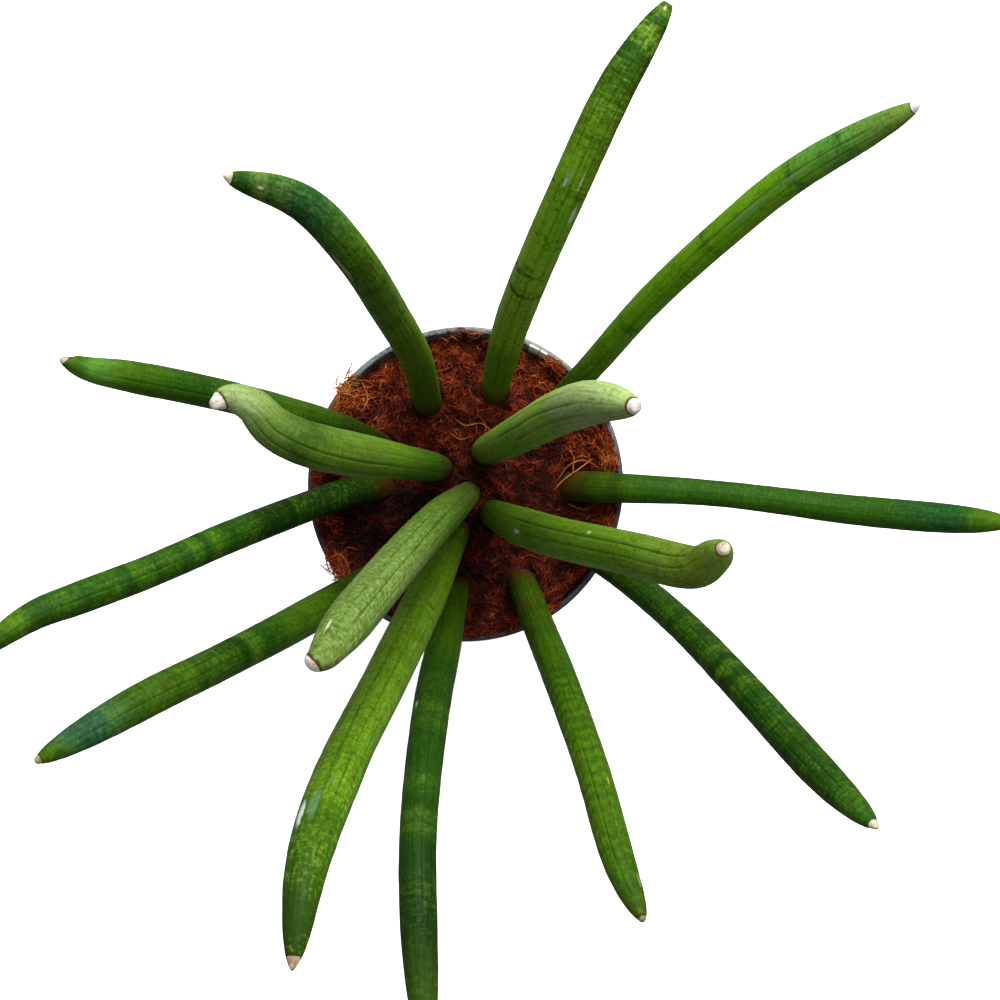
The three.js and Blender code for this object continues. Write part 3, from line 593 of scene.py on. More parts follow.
def band_value(leaf, distance):
    """How pale (above 0) or dark (below 0) the leaf's cross bands are at each distance."""
    value = np.zeros_like(distance)
    for centre, half, strength in leaf["bands"]:
        value += strength * np.exp(-(np.abs((distance - centre) / half) ** BAND_EDGE))
    if "pulse" in leaf:
        start, stop, pitch, strength = leaf["pulse"]
        envelope = smoothstep(distance, start, start + 25) * (1 - smoothstep(distance, stop - 15, stop))
        value += strength * envelope * np.sin(2 * math.pi * distance / pitch)
    return value


def groove_strength(leaf, distance, groove):
    """How plain each groove is at each distance, from 0 to 1. groove: its number, from bearing 0."""
    strength = np.full_like(distance, FAINT)
    for number, start, stop, plain in leaf.get("grooves", ()):
        opening = smoothstep(distance, start - 12, start + 12)
        window = opening * (1 - smoothstep(distance, stop - 14, stop + 4))
        strength = np.where(groove == number, np.maximum(strength, plain * window), strength)
    return strength


def dry_end_rings(leaf, length):
    """Distance and radius of each ring of the dry end, from the rim of the green skin."""
    radius, stub, point = leaf["tip"]
    start = length - stub
    rings = [(start + 0.04, radius + SKIN_LIP - 0.06), (start + 0.08, radius)]
    for share, fullness in STUB_PROFILE:
        cone = radius + (point - radius) * share
        rings.append((start + share * stub, cone * fullness))
    return rings


def rim_slip(leaf, ring, angle, radius, start, length, seed):
    """How far the rim of the skin slips along the leaf, where it slants and wavers."""
    tilt, bearing = leaf.get("slant", (0, 0))
    near_rim = smoothstep(ring, start - RIM_ZONE, start)
    edge = np.clip(waves(np.stack([np.cos(angle), np.sin(angle)], -1) * 2.2, seed + 250, 6), -1, 1)
    slip = 0.16 * edge * near_rim * np.clip((length - 0.6 - ring) / 1.5, 0, 1)
    fall = (1 + np.cos(angle - math.radians(bearing))) / 2
    return slip - math.tan(math.radians(tilt)) * near_rim * radius * fall


def band_colour(leaf, ring, rod, offsets, seed):
    """The cross bands at each point: they shift a little from flute to flute, and their edges waver."""
    shifts = np.random.RandomState(seed + 300).uniform(-1.0, 1.0, FLUTES)
    flute = np.repeat(np.arange(FLUTES), len(FLUTE_POINTS))
    shift = shifts[flute]
    on_groove = offsets == 0
    shift[on_groove] = (shifts[flute] + shifts[flute - 1])[on_groove] / 2
    waver = 0.5 * waves(rod / np.array([2.2, 2.2, 3.0]), seed + 350, 8)
    waver += 0.7 * waves(rod / np.array([6.0, 6.0, 12.0]), seed + 400, 6)
    strength = 0.9 + 0.25 * waves(rod / np.array([5.0, 5.0, 7.0]), seed + 450, 6)
    return BAND_SHARE * band_value(leaf, ring + shift[None] + waver) * np.clip(strength, 0.3, 1.2)


def build_leaf(name, leaf, skin, dry):
    """One leaf. The seeds of its random waves follow from its number."""
    seed = int(name[-2:])
    axis = Axis(leaf)
    length = axis.length
    start = length - leaf["tip"][1]
    fine_from = ROOT_DEPTH - BURIED_MARGIN
    buried = np.arange(2 * GAP, fine_from, BURIED_STEP)
    count = int(round((start - RIM_ZONE - fine_from) / RING_STEP))
    open_air = np.linspace(fine_from, start - RIM_ZONE, count)
    green = np.concatenate([buried, open_air, start - np.array(LIP_RINGS)])
    stub = np.array(dry_end_rings(leaf, length))
    distances = np.concatenate([green, stub[:, 0]])

    angles = np.radians(np.concatenate([np.array(FLUTE_POINTS) + FLUTE * k for k in range(FLUTES)]))
    sides = len(angles)
    offsets = np.tile(np.minimum(FLUTE_POINTS, FLUTE - np.array(FLUTE_POINTS)), FLUTES)
    ring, angle = np.meshgrid(distances, angles, indexing="ij")
    crest = crest_radius(leaf, length, green)
    lump = 1 + 0.006 * waves(np.stack([green / 24, 0 * green], -1), seed)
    crest = crest * np.where(green > start - RIM_ZONE, 1, lump)
    radius = np.concatenate([crest, stub[:, 1]])[:, None] + np.zeros_like(angle)

    # Grooves, each with its own strength along the leaf
    nearest = np.round(np.degrees(angles) / FLUTE).astype(int)
    nearest = (nearest + 5) % FLUTES - 5
    plain = groove_strength(leaf, ring, nearest[None])
    plain *= smoothstep(length - ring, leaf["tip"][1] + 3, leaf["tip"][1] + 20)
    to_groove = np.radians(offsets)[None] * radius
    hollow = (0.15 + 0.85 * plain) * np.exp(-((to_groove / GROOVE_WIDTH) ** 2))
    radius -= GROOVE_DEPTH * hollow * (ring < start)
    line = plain * np.exp(-((to_groove / LINE_WIDTH) ** 2))
    rod = np.stack([radius * np.cos(angle), radius * np.sin(angle), ring], -1)

    # Small unevenness of the skin, and a rough, crumbled stub
    skin_share = (ring < start - 1) * smoothstep(length - ring, 5, 12)
    radius += 0.045 * skin_share * waves(rod / np.array([3.5, 3.5, 2.6]), seed + 100, 8)
    crumbs = np.minimum(waves(rod / np.array([0.8, 0.8, 0.7]), seed + 200, 8), 0.4)
    radius *= 1 + 0.06 * smoothstep(ring, start + 0.1, start + 0.8) * crumbs

    normals, binormals, tangents = axis.frames(distances)
    centres = axis.at(distances)
    outward = around(angle, normals[:, None], binormals[:, None])
    points = centres[:, None] + radius[..., None] * outward
    points += rim_slip(leaf, ring, angle, radius, start, length, seed)[..., None] * tangents[:, None]
    band = band_colour(leaf, ring, rod, offsets, seed)

    tails = axis.at(np.array([distances[0], length - END_DIMPLE]))
    flat = np.vstack([points.reshape(-1, 3), tails])
    faces = solid_faces(len(distances), sides)
    skin_quads = (len(green) - 1) * sides
    dry_quads = len(stub) * sides
    face_materials = [0] * skin_quads + [1] * dry_quads + [0] * sides + [1] * sides
    ends = np.array([[0, 0, distances[0]], [0, 0, length]])
    attributes = {
        "rod": np.vstack([rod.reshape(-1, 3), ends]),
        "band": np.append(band.ravel(), [0, 0]),
        "line": np.append(line.ravel(), [0, 0]),
    }
    piece = add_mesh(name + "_grown", flat, faces, [skin, dry], attributes, face_materials)
    dress(piece, name)


# ---- Leaf materials ----

COLOUR_WANDER = 26.0  # how far the edge between two colours of the skin wanders
EARTH_REACH = 26.0  # how far the earth on a leaf's foot goes, at most
EARTH_FADE = 15.0
EARTH_SHARE = 0.66
MARK_RAGGED = 1.4  # unevenness of a mark's edge, as a share of its half width


class Skin(Shader):
    """Waxy leaf skin: colours along the leaf, cross bands, strokes, dark grooves and a brown rim, with
    painted highlights and sheen, a painted reflection of the sky, and on some leaves one side painted
    paler as light and shade.
    """

    def __init__(self, name, leaf):
        super().__init__(name + "_skin")
        self.leaf = leaf
        self.seed = int(name[-2:])
        self.length = Axis(leaf).length
        self.rod = self.attribute("rod", output=1)
        across, up, self.along = (self.node("SeparateXYZ", {0: self.rod}, output=k) for k in range(3))
        self.bearing = self.maths("ARCTAN2", up, across)
        ripple = 0.55 * leaf["ripple"]
        strokes = self.grain(0.28, 1.2, detail=3, roughness=0.6)
        self.strokes = self.between(strokes, 0.3, 0.7, -ripple, ripple)
        colour = self.patterned(self.ground())
        colour = self.streaked(colour)
        colour = self.lined(colour)
        colour = self.marked(colour)
        self.set(Base_Color=self.worn_ends(colour), Specular_IOR_Level=0.04)
        rough = self.grain(0.5, 0.2, detail=3)
        self.set(Roughness=self.between(rough, 0.3, 0.7, 0.38, 0.54))
        relief = self.bump(self.grain(1.4, 3.2, detail=3), 0.10 * MM, 0.4)
        self.set(Normal=self.bump(self.strokes, 0.15 * MM, 0.3 + 0.4 * leaf["ripple"], relief))

    def grain(self, across, along, **options):
        """Noise with its own scale across and along the leaf."""
        shift = (self.seed * 17.0, self.seed * 5.0, 0.0)
        return self.noise(self.rod, (across, across, along), shift, **options)

    def paint(self, share, colour, name):
        return self.mix(share, colour, surface_colour(PALETTE[name]))

    def ground(self):
        """Colour along the leaf, with an uneven edge between one colour and the next."""
        patch = self.maths("SUBTRACT", self.grain(0.16, 0.05, detail=3), 0.5)
        place = self.maths("MULTIPLY_ADD", patch, COLOUR_WANDER, self.along)
        place = self.maths("DIVIDE", place, self.length)
        return self.ramp(place, shades(*(
            (distance / self.length, PALETTE[name]) for distance, name in self.leaf["ground"]
        )))

    def blocks(self):
        """Short blocks that differ from flute to flute."""
        flute = self.maths("FLOOR", self.maths("MULTIPLY", self.bearing, FLUTES / (2 * math.pi)))
        waver = self.grain(0.9, 0.9)
        height = self.maths("MULTIPLY_ADD", waver, 0.8, self.maths("MULTIPLY", self.along, 0.6))
        panel = self.maths("MULTIPLY_ADD", flute, 0.42, self.seed * 3.7)
        blocks = self.noise(self.node("CombineXYZ", {0: panel, 1: height}), 1.0, detail=1.5)
        blocks = self.between(blocks, 0.34, 0.66, -1.0, 1.0)
        groups = self.between(self.grain(0.05, 0.045), 0.36, 0.62, 0.35, 1.0)
        groups = self.maths("MULTIPLY", groups, 0.3 * self.leaf["bricks"])
        return self.maths("MULTIPLY", blocks, groups)

    def patterned(self, colour):
        """Cross bands, blocks, strokes and small blotches, each pale above 0 and dark below."""
        mottle = self.leaf["mottle"]
        mottles = self.grain(0.65, 0.5, detail=3, roughness=0.7)
        mottles = self.between(mottles, 0.34, 0.66, -mottle, mottle)
        bands = self.maths("ADD", self.attribute("band"), self.blocks())
        value = self.maths("ADD", bands, self.maths("ADD", self.strokes, mottles))
        for name, share in (("pale", 0.85), ("dark", -0.85)):
            shown = self.maths("MULTIPLY", value, share, clamp=True)
            colour = self.paint(shown, colour, self.leaf[name])
        return colour

    def streaked(self, colour):
        """Lengthwise streaks, a brown tinge here and there, and on some leaves one side painted paler
        than the other, as painted light and shade.
        """
        streaks = self.between(self.grain(1.1, 0.045), 0.3, 0.7, 0.86, 1.14)
        colour = self.mix(1.0, colour, streaks, "MULTIPLY")
        shift = (self.seed * 3.0, 4.0, self.seed * 7.0)
        tinge = self.noise(self.rod, (0.5, 0.5, 0.32), shift, detail=4, roughness=0.65)
        tinge = self.between(tinge, 0.5, 0.68, 0.0, 0.6)
        colour = self.mix(tinge, colour, self.mix(1.0, colour, (1.35, 0.8, 0.8, 1.0), "MULTIPLY"))
        # Painted light and shade: paler on the side at the given bearing, darker on the far side
        if "painted_lit_side" in self.leaf:
            bearing, share = self.leaf["painted_lit_side"]
            turned = self.maths("SUBTRACT", self.bearing, math.radians(bearing))
            side = self.between(self.maths("COSINE", turned), -0.7, 0.7, 1 - share, 1 + share)
            colour = self.mix(1.0, colour, side, "MULTIPLY")
        return colour

    def lined(self, colour):
        """Dark lines in the grooves, which fade here and there."""
        broken = self.between(self.grain(0.25, 0.03, detail=3), 0.34, 0.56, 0.45, 1.0)
        line = self.maths("MULTIPLY", self.attribute("line"), broken)
        return self.mix(line, colour, self.mix(1.0, colour, (0.22, 0.36, 0.3, 1.0), "MULTIPLY"))

    def marked(self, colour):
        """Soft, uneven oval spots, each at its distance and bearing on the leaf; some of them are
        painted highlights, painted sheen or a painted reflection of the sky.
        """
        for distance, bearing, half_length, half_width, name, strength in self.leaf.get("marks", ()):
            radius = float(crest_radius(self.leaf, self.length, np.array([distance]))[0])
            angle = math.radians(bearing)
            centre = (radius * math.cos(angle), radius * math.sin(angle), distance)
            scale = (1 / half_width, 1 / half_width, 1 / half_length)
            away = self.node("VectorMath", {0: self.rod, 1: centre}, operation="SUBTRACT")
            reach = self.node("VectorMath", {0: away, 1: scale}, operation="MULTIPLY")
            reach = self.node("VectorMath", {0: reach}, output=1, operation="LENGTH")
            ragged = self.noise(self.rod, (1.1, 1.1, 0.5), detail=3, roughness=0.6)
            ragged = self.maths("SUBTRACT", ragged, 0.5)
            reach = self.maths("MULTIPLY_ADD", ragged, MARK_RAGGED, reach)
            share = self.between(reach, 0.45, 1.25, 1.0, 0.0)
            colour = self.paint(self.maths("MULTIPLY", share, strength), colour, name)
        return colour

    def worn_ends(self, colour):
        """Earth on the foot of the leaf, and skin that dries brown around the dry end."""
        stain = self.grain(0.5, 0.3, detail=4)
        reach = self.maths("MULTIPLY_ADD", stain, EARTH_REACH, ROOT_DEPTH - 8.0)
        past = self.maths("SUBTRACT", self.along, reach)
        foot = self.between(past, 0.0, EARTH_FADE, EARTH_SHARE, 0.0)
        colour = self.mix(foot, colour, surface_colour(FOOT_EARTH))
        width, name = self.leaf.get("ring", THIN_RING)
        start = self.length - self.leaf["tip"][1]
        rim = self.maths("MULTIPLY_ADD", self.grain(0.7, 0.3), -2 * width, start + 0.1)
        rim = self.between(self.maths("SUBTRACT", self.along, rim), -0.5, 0.3, 0.0, 0.9)
        return self.paint(rim, colour, name)


def dry_material(name, tones):
    """Dry, corky leaf end: hollows, body and crests in their own tones, with small pits."""
    hollow, body, crest = (surface_colour(tone) for tone in tones)
    shader = Shader("dry_" + name)
    rod = shader.attribute("rod", output=1)
    cloud = shader.noise(rod, 0.45, detail=4, roughness=0.6)
    colour = shader.ramp(cloud, [(0.28, hollow), (0.46, body), (0.62, crest)])
    pits = shader.noise(rod, (1.6, 1.6, 1.2), detail=3, roughness=0.7)
    colour = shader.mix(shader.between(pits, 0.6, 0.78, 0.0, 0.55), colour, hollow)
    shader.set(Base_Color=colour, Roughness=0.75, Specular_IOR_Level=0.12)
    shader.set(Normal=shader.bump(pits, 0.35 * MM, 0.6))
    return shader.material


# ---- Coir ----


def clumps(x, y, size, seed):
    """Uneven lumps of fibre, about -1 to 1."""
    return waves(np.stack([x, y], -1) / size, seed, 8)


def coir_height(x, y):
    """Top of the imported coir: mounds, and a bank up the pot's wall all round except towards +Y."""
    mounds = 1.3 * np.sin(0.11 * x + 0.05 * y + 0.9) * np.cos(0.1 * y - 0.04 * x)
    lumps = 0.9 * np.sin(0.31 * x - 0.17 * y) + 0.7 * np.cos(0.27 * y + 0.23 * x + 2)
    reach = np.hypot(x, y)
    settling = 2.2 * (reach / RIM_RADIUS) ** 4
    bank = 9.4 * smoothstep(reach, 57, 75) * (1 - 0.75 * smoothstep(y, 25, 60))
    return SOIL_LEVEL + mounds + lumps - settling + bank + 0.7 * clumps(x, y, 1.6, 23)


def inner_radius(z):
    """Radius of the pot's inner wall at a height."""
    top = RIM_RADIUS - RIM_WIDTH
    heights = (FLOOR, COLLAR_FOOT, POT_HEIGHT)
    return np.interp(z, heights, (BASE_RADIUS - WALL, top - COLLAR_STEP, top))


# Darker and brighter zones of the coir, partly its own tone and partly painted shade under the leaves
# and painted light towards +Y: centre, size and tone
TONE_AND_PAINTED_LIGHT_ZONES = ((-36, -26, 22, -0.26), (36, -9, 15, -0.11), (34, 54, 16, 0.07))


def tone_and_painted_light(x, y):
    """How bright the coir is at a place: redder towards +X and +Y and almost black in one quarter,
    partly the coir's own tone and partly painted light towards +Y and painted shade under the leaves.
    """
    tone = 0.43 + 0.0007 * x + 0.0010 * y
    for centre_x, centre_y, size, change in TONE_AND_PAINTED_LIGHT_ZONES:
        tone += change * np.exp(-((x - centre_x) ** 2 + (y - centre_y) ** 2) / (2 * size**2))
    tone += 0.12 * smoothstep(np.hypot(x, y), 60, 76)
    return tone + 0.11 * clumps(x, y, 2.0, 24) + 0.09 * clumps(x, y, 4.5, 25)


BED_SECTORS = 200
BED_RINGS = 60
BED_DROP = 0.8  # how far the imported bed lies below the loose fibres
SOCKET_SIDES = 24
SOCKET_STATIONS = (GAP, ROOT_DEPTH / 2, ROOT_DEPTH, SOCKET_DEPTH)


def build_bed(material):
    """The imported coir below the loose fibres, with a hole for each leaf."""
    edge = float(inner_radius(POT_HEIGHT - 8)) - GAP
    bottom = FLOOR + GAP
    angles = np.linspace(0, 2 * math.pi, BED_SECTORS, endpoint=False)
    wall = [(float(inner_radius(z)) - GAP, z) for z in (bottom, 40, 75, COLLAR_FOOT)]
    rings = []
    for radius, z in wall:
        level = np.full_like(angles, z)
        rings.append(np.stack([radius * np.cos(angles), radius * np.sin(angles), level], -1))
    for share in np.linspace(1, 0.02, BED_RINGS):
        x = edge * share * np.cos(angles)
        y = edge * share * np.sin(angles)
        rough = 0.45 * clumps(x, y, 3.0, 21) + 0.35 * clumps(x, y, 1.4, 22)
        rings.append(np.stack([x, y, coir_height(x, y) - BED_DROP + rough], -1))
    middle = float(coir_height(np.zeros(1), np.zeros(1))[0])
    ends = np.array([[0, 0, bottom], [0, 0, middle - 0.6]])
    faces = solid_faces(len(rings), BED_SECTORS)
    piece = add_mesh("coir_bed", np.vstack(rings + [ends]), faces, [material])
    cut_sockets(piece)
    places = np.array([vertex.co[:2] for vertex in piece.data.vertices]) / MM
    layer = piece.data.attributes.new("tone", "FLOAT", "POINT")
    layer.data.foreach_set("value", tone_and_painted_light(places[:, 0], places[:, 1]))
    dress(piece, "coir")


def cut_sockets(piece):
    """Cuts the hole that each leaf stands in."""
    stations = np.array(SOCKET_STATIONS)
    angles = np.linspace(0, 2 * math.pi, SOCKET_SIDES, endpoint=False)
    points = []
    faces = []
    for leaf in LEAVES.values():
        axis = Axis(leaf)
        normals, binormals, _ = axis.frames(stations)
        centres = axis.at(stations)
        radius = crest_radius(leaf, axis.length, stations).max() + GAP
        faces += drum_faces(len(stations), SOCKET_SIDES, len(points))
        for centre, normal, binormal in zip(centres, normals, binormals):
            points.extend((centre + radius * around(angles, normal, binormal)).tolist())
    cut_with(piece, add_mesh("sockets", points, faces, []))


def cut_with(piece, cutter):
    """Cuts one piece with another, which goes."""
    modifier = piece.modifiers.new("cut", "BOOLEAN")
    modifier.operation = "DIFFERENCE"
    modifier.solver = "EXACT"
    modifier.use_self = True
    modifier.object = cutter
    graph = bpy.context.evaluated_depsgraph_get()
    mesh = bpy.data.meshes.new_from_object(piece.evaluated_get(graph))
    piece.modifiers.clear()
    piece.data = mesh
    bpy.data.objects.remove(cutter)


FIBRE_SEED = 5
FIBRE_SIDES = 3
FIBRE_STEPS = 6
STRAND_STEPS = 12
FIBRE_COUNT = 9200
FIBRES_A_PIECE = 4600
FIBRE_MARGIN = 0.5  # how far loose fibres keep from the leaves
FIBRES_DRAWN = 3 * FIBRE_COUNT  # those that hit a leaf or the pot are left out
FIBRE_REACH = 76  # how far from the middle a fibre starts
BRIGHT_SHARE = 0.05  # how many of the loose fibres are brighter
HEAP_SPREAD = 1.6  # half width of a heap, in standard deviations
CURLS_A_SPILL = 48
RIM_LIFT = 0.45  # how far the middle of a fibre lies above the rim
RIM_CLIMB = 3.5  # how far a fibre climbs from the bank to the rim

# Heaps of brighter fibre: centre, half width, number, height above the bed, tone
HEAPS = (
    ((-54, 47), 6.0, 170, 3.0, 0.72),
    ((-60, 40), 5.0, 90, 2.6, 0.66),
    ((-65, -38), 4.0, 150, 3.2, 0.72),
    ((-70, -22), 4.0, 60, 2.6, 0.60),
    ((72, 12), 3.6, 130, 2.6, 0.76),
    ((60, 16), 8.0, 100, 3.2, 0.66),
    ((46, 58), 6.0, 50, 3.0, 0.58),
    ((3, 30), 12.0, 40, 2.0, 0.56),
    ((64, -14), 6.0, 40, 2.4, 0.58),
)

# Strands placed one by one: points as x, y and height above the bed, radius and tone
STRANDS = (
    (((44, -4, 5), (50, 2, 10), (57, 7, 11), (64.5, 12.5, 6)), 0.55, 0.92),
    (((47, 2, 2), (52, 9, 5), (60, 12, 5), (68, 8, 2)), 0.45, 0.84),
    (((50, 20, 2), (55, 14, 4), (55, 6, 6), (60, 1, 9)), 0.45, 0.86),
    (((58, 22, 2), (66, 19, 3), (71, 12, 3), (70, 4, 2)), 0.40, 0.80),
    (((52, -10, 3), (60, -13, 4), (67, -10, 3)), 0.40, 0.72),
    (((-6, 34, 2), (0, 30, 4), (8, 31, 4), (14, 26, 2)), 0.50, 0.84),
    (((-9, 27, 2), (-3, 23, 3), (4, 25, 3)), 0.45, 0.76),
    (((6, 36, 2), (10, 30, 3), (9, 24, 2)), 0.40, 0.74),
    (((-58, 58, 4), (-52, 50, 6), (-50, 42, 5), (-54, 36, 3)), 0.4, 0.84),
    (((-66, 46, 4), (-60, 50, 6), (-52, 53, 6), (-46, 50, 3)), 0.4, 0.82),
    (((-64, 40, 3), (-57, 44, 5), (-50, 45, 5), (-44, 40, 2)), 0.4, 0.78),
    (((-70, -40, 4), (-64, -36, 6), (-60, -40, 4), (-58, -46, 2)), 0.50, 0.80),
    (((30, -52, 2), (36, -46, 3), (44, -45, 3)), 0.35, 0.55),
    (((-22, 62, 2), (-15, 58, 3), (-8, 60, 2)), 0.40, 0.62),
)

# Fibre that spills over the rim: bearing, reach past the rim, tone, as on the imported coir
SPILLS = ((140, 3, 0.90), (144, 3, 0.86), (148, 0, 0.78), (211, 2, 0.72), (215, 4, 0.76), (220, 1, 0.70))

# Fibre that hides the inner edge of the rim: first and last bearing, and number
FRINGES = ((150, 238, 800), (246, 308, 480), (-26, 44, 330), (49, 57, 60), (66, 100, 50))


def curled(random, x, y, level, length):
    """Centrelines of loose fibres that start from points x, y and lie a little above the bed."""
    count = len(x)
    heading = random.uniform(0, 2 * math.pi, count)
    bend = random.normal(0, 0.06, count)
    curl = random.normal(0, 0.4, count)
    share = np.linspace(-0.5, 0.5, FIBRE_STEPS)
    along = share[None] * length[:, None]
    turn = heading[:, None] + bend[:, None] * along + curl[:, None] * np.sin(2 * math.pi * share)[None]
    step = length[:, None] / (FIBRE_STEPS - 1)
    dx = np.cumsum(np.cos(turn) * step, axis=1)
    dy = np.cumsum(np.sin(turn) * step, axis=1)
    px = x[:, None] + dx - dx[:, FIBRE_STEPS // 2][:, None]
    py = y[:, None] + dy - dy[:, FIBRE_STEPS // 2][:, None]
    arch = random.uniform(-0.4, 1.8, count)[:, None] * (1 - (2 * share) ** 2)[None]
    tilt = random.normal(0, 0.9, count)[:, None] * 2 * share[None]
    return np.stack([px, py, coir_height(px, py) + level[:, None] + arch + tilt], -1)


def strand_lines():
    """The strands placed one by one, each in a few more steps than a loose fibre."""
    lines = []
    for points, _, _ in STRANDS:
        curve = smooth_curve(points, STRAND_STEPS)
        picks = np.linspace(0, len(curve) - 1, STRAND_STEPS).round().astype(int)
        curve = curve[picks]
        height = coir_height(curve[:, 0], curve[:, 1])
        lines.append(np.stack([curve[:, 0], curve[:, 1], curve[:, 2] + height], -1))
    return np.array(lines)


def over_rim(x, y, lift):
    """Height of fibre that comes up from the bank and lies on the rim."""
    climb = smoothstep(np.hypot(x, y), RIM_RADIUS - 12, RIM_RADIUS - RIM_WIDTH - 0.7)
    return POT_HEIGHT + RIM_LIFT + lift - RIM_CLIMB * (1 - climb)


def fringe_lines(random):
    """Short fibres that lie from the bank over the inner edge of the rim."""
    lines = []
    for first, last, count in FRINGES:
        for _ in range(count):
            angle = math.radians(random.uniform(first, last))
            middle = random.uniform(RIM_RADIUS - 8, RIM_RADIUS - 1.2)
            along = np.linspace(-0.5, 0.5, FIBRE_STEPS) * random.uniform(3, 9)
            heading = angle + math.pi / 2 + random.normal(0, 0.7) + random.normal(0, 0.12) * along
            x = middle * math.cos(angle) + along * np.cos(heading)
            y = middle * math.sin(angle) + along * np.sin(heading)
            if np.hypot(x, y).max() < RIM_RADIUS - 0.5:
                lines.append(np.stack([x, y, over_rim(x, y, abs(random.normal(0, 0.5)))], -1))
    return np.array(lines)


def spill_lines(random):
    """Loose curls of fibre that lie over the pot's rim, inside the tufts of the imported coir."""
    lines = []
    tones = []
    for bearing, past, tone in SPILLS:
        for _ in range(CURLS_A_SPILL):
            angle = math.radians(bearing)
            tip = RIM_RADIUS + past - abs(random.normal(0, 2.2))
            aside = random.normal(0, 1.8)
            along = np.linspace(0, random.uniform(4, 9), FIBRE_STEPS)
            heading = angle + random.normal(0, 0.8) + random.normal(0, 0.2) * along
            step = along[1]
            x = tip * math.cos(angle) - aside * math.sin(angle) - np.cumsum(np.cos(heading) * step)
            y = tip * math.sin(angle) + aside * math.cos(angle) - np.cumsum(np.sin(heading) * step)
            lines.append(np.stack([x, y, over_rim(x, y, abs(random.normal(0, 0.9)))], -1))
            tones.append(tone + random.normal(0, 0.1))
    return np.array(lines), np.array(tones)


def clear_of_leaves(lines):
    """Which lines keep their distance from every leaf."""
    clear = np.ones(len(lines), bool)
    for leaf in LEAVES.values():
        axis = Axis(leaf)
        distances = np.arange(20.0, axis.length, 3.0)
        centres = axis.at(distances)
        near = centres[:, 2] < POT_HEIGHT + 10
        centres = centres[near]
        radii = crest_radius(leaf, axis.length, distances[near])
        for centre, radius in zip(centres, radii):
            away = np.linalg.norm(lines - centre, axis=2).min(axis=1)
            clear &= away > math.hypot(radius, 1.5) + FIBRE_MARGIN
    return clear


def tubes(lines, radii, sides):
    """Points and faces of thin closed tubes, one around each line, thinner at its ends."""
    steps = lines.shape[1]
    tangent = np.gradient(lines, axis=1)
    tangent /= np.linalg.norm(tangent, axis=2)[..., None]
    upward = np.array([0.0, 0.0, 1.0])
    aside = np.cross(tangent, upward)
    aside /= np.maximum(np.linalg.norm(aside, axis=2), 1e-6)[..., None]
    over = np.cross(aside, tangent)
    share = np.linspace(-1, 1, steps)
    profile = 1 - 0.65 * np.abs(share) ** 3
    angle = np.linspace(0, 2 * math.pi, sides, endpoint=False)
    spoke = around(angle, aside[:, :, None], over[:, :, None])
    width = (radii[:, None] * profile[None])[:, :, None, None]
    points = (lines[:, :, None] + width * spoke).reshape(-1, 3)
    faces = []
    for first in range(0, len(points), steps * sides):
        faces += drum_faces(steps, sides, first)
    return points, faces


def inside_pot(lines):
    """Which lines stay inside the pot's wall."""
    reach = np.hypot(lines[..., 0], lines[..., 1])
    return (reach < inner_radius(lines[..., 2]) - 0.6).all(axis=1)


def scattered_lines(random):
    """Loose fibres all over the bed, and their tones."""
    reach = FIBRE_REACH * np.sqrt(random.uniform(0, 1, FIBRES_DRAWN))
    bearing = random.uniform(0, 2 * math.pi, FIBRES_DRAWN)
    length = random.gamma(3.0, 1.7, FIBRES_DRAWN).clip(2.5, 14)
    level = random.uniform(-0.9, 1.2, FIBRES_DRAWN)
    lines = curled(random, reach * np.cos(bearing), reach * np.sin(bearing), level, length)
    lines = lines[inside_pot(lines)]
    lines = lines[clear_of_leaves(lines)][:FIBRE_COUNT]
    middle = lines[:, FIBRE_STEPS // 2]
    tone = tone_and_painted_light(middle[:, 0], middle[:, 1]) + random.normal(0, 0.08, len(lines))
    return lines, tone + 0.16 * (random.uniform(0, 1, len(lines)) > 1 - BRIGHT_SHARE)


def heap_lines(random):
    """Heaps of brighter fibre, and their tones."""
    heaps = []
    tones = []
    for (x, y), half, count, rise, tone in HEAPS:
        places = random.normal((x, y), half / HEAP_SPREAD, (count, 2))
        level = random.uniform(0, rise, count)
        lines = curled(random, places[:, 0], places[:, 1], level, random.uniform(3, 9, count))
        lines = lines[inside_pot(lines)]
        lines = lines[clear_of_leaves(lines)]
        heaps.append(lines)
        tones.append(tone + random.normal(0, 0.11, len(lines)))
    return np.concatenate(heaps), np.concatenate(tones)


def add_fibres(name, lines, radii, tone, material):
    """One piece of fibres, each with one radius and one tone."""
    points, faces = tubes(lines, radii, FIBRE_SIDES)
    tones = np.repeat(tone, lines.shape[1] * FIBRE_SIDES)
    dress(add_mesh(name, points, faces, [material], {"tone": tones}), "coir")


def build_fibres(material):
    """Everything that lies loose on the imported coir."""
    random = np.random.RandomState(FIBRE_SEED)
    lines, tone = scattered_lines(random)
    radii = random.gamma(5.0, 0.045, len(lines)).clip(0.12, 0.4)
    for start in range(0, len(lines), FIBRES_A_PIECE):
        part = slice(start, start + FIBRES_A_PIECE)
        number = start // FIBRES_A_PIECE + 1
        add_fibres(f"coir_fibres_{number}", lines[part], radii[part], tone[part], material)
    heaps, heap_tone = heap_lines(random)
    spills, spill_tone = spill_lines(random)
    fringe = fringe_lines(random)
    fringe_tone = tone_and_painted_light(fringe[:, 0, 0], fringe[:, 0, 1])
    fringe_tone = fringe_tone + random.normal(0.02, 0.08, len(fringe))
    lines = np.concatenate([heaps, spills, fringe])
    tone = np.concatenate([heap_tone, spill_tone, fringe_tone])
    radii = random.gamma(5.0, 0.05, len(lines)).clip(0.16, 0.42)
    add_fibres("coir_heaps", lines, radii, tone, material)
    radii, tone = np.array([strand[1:] for strand in STRANDS]).T
    add_fibres("coir_strands", strand_lines(), radii, tone, material)


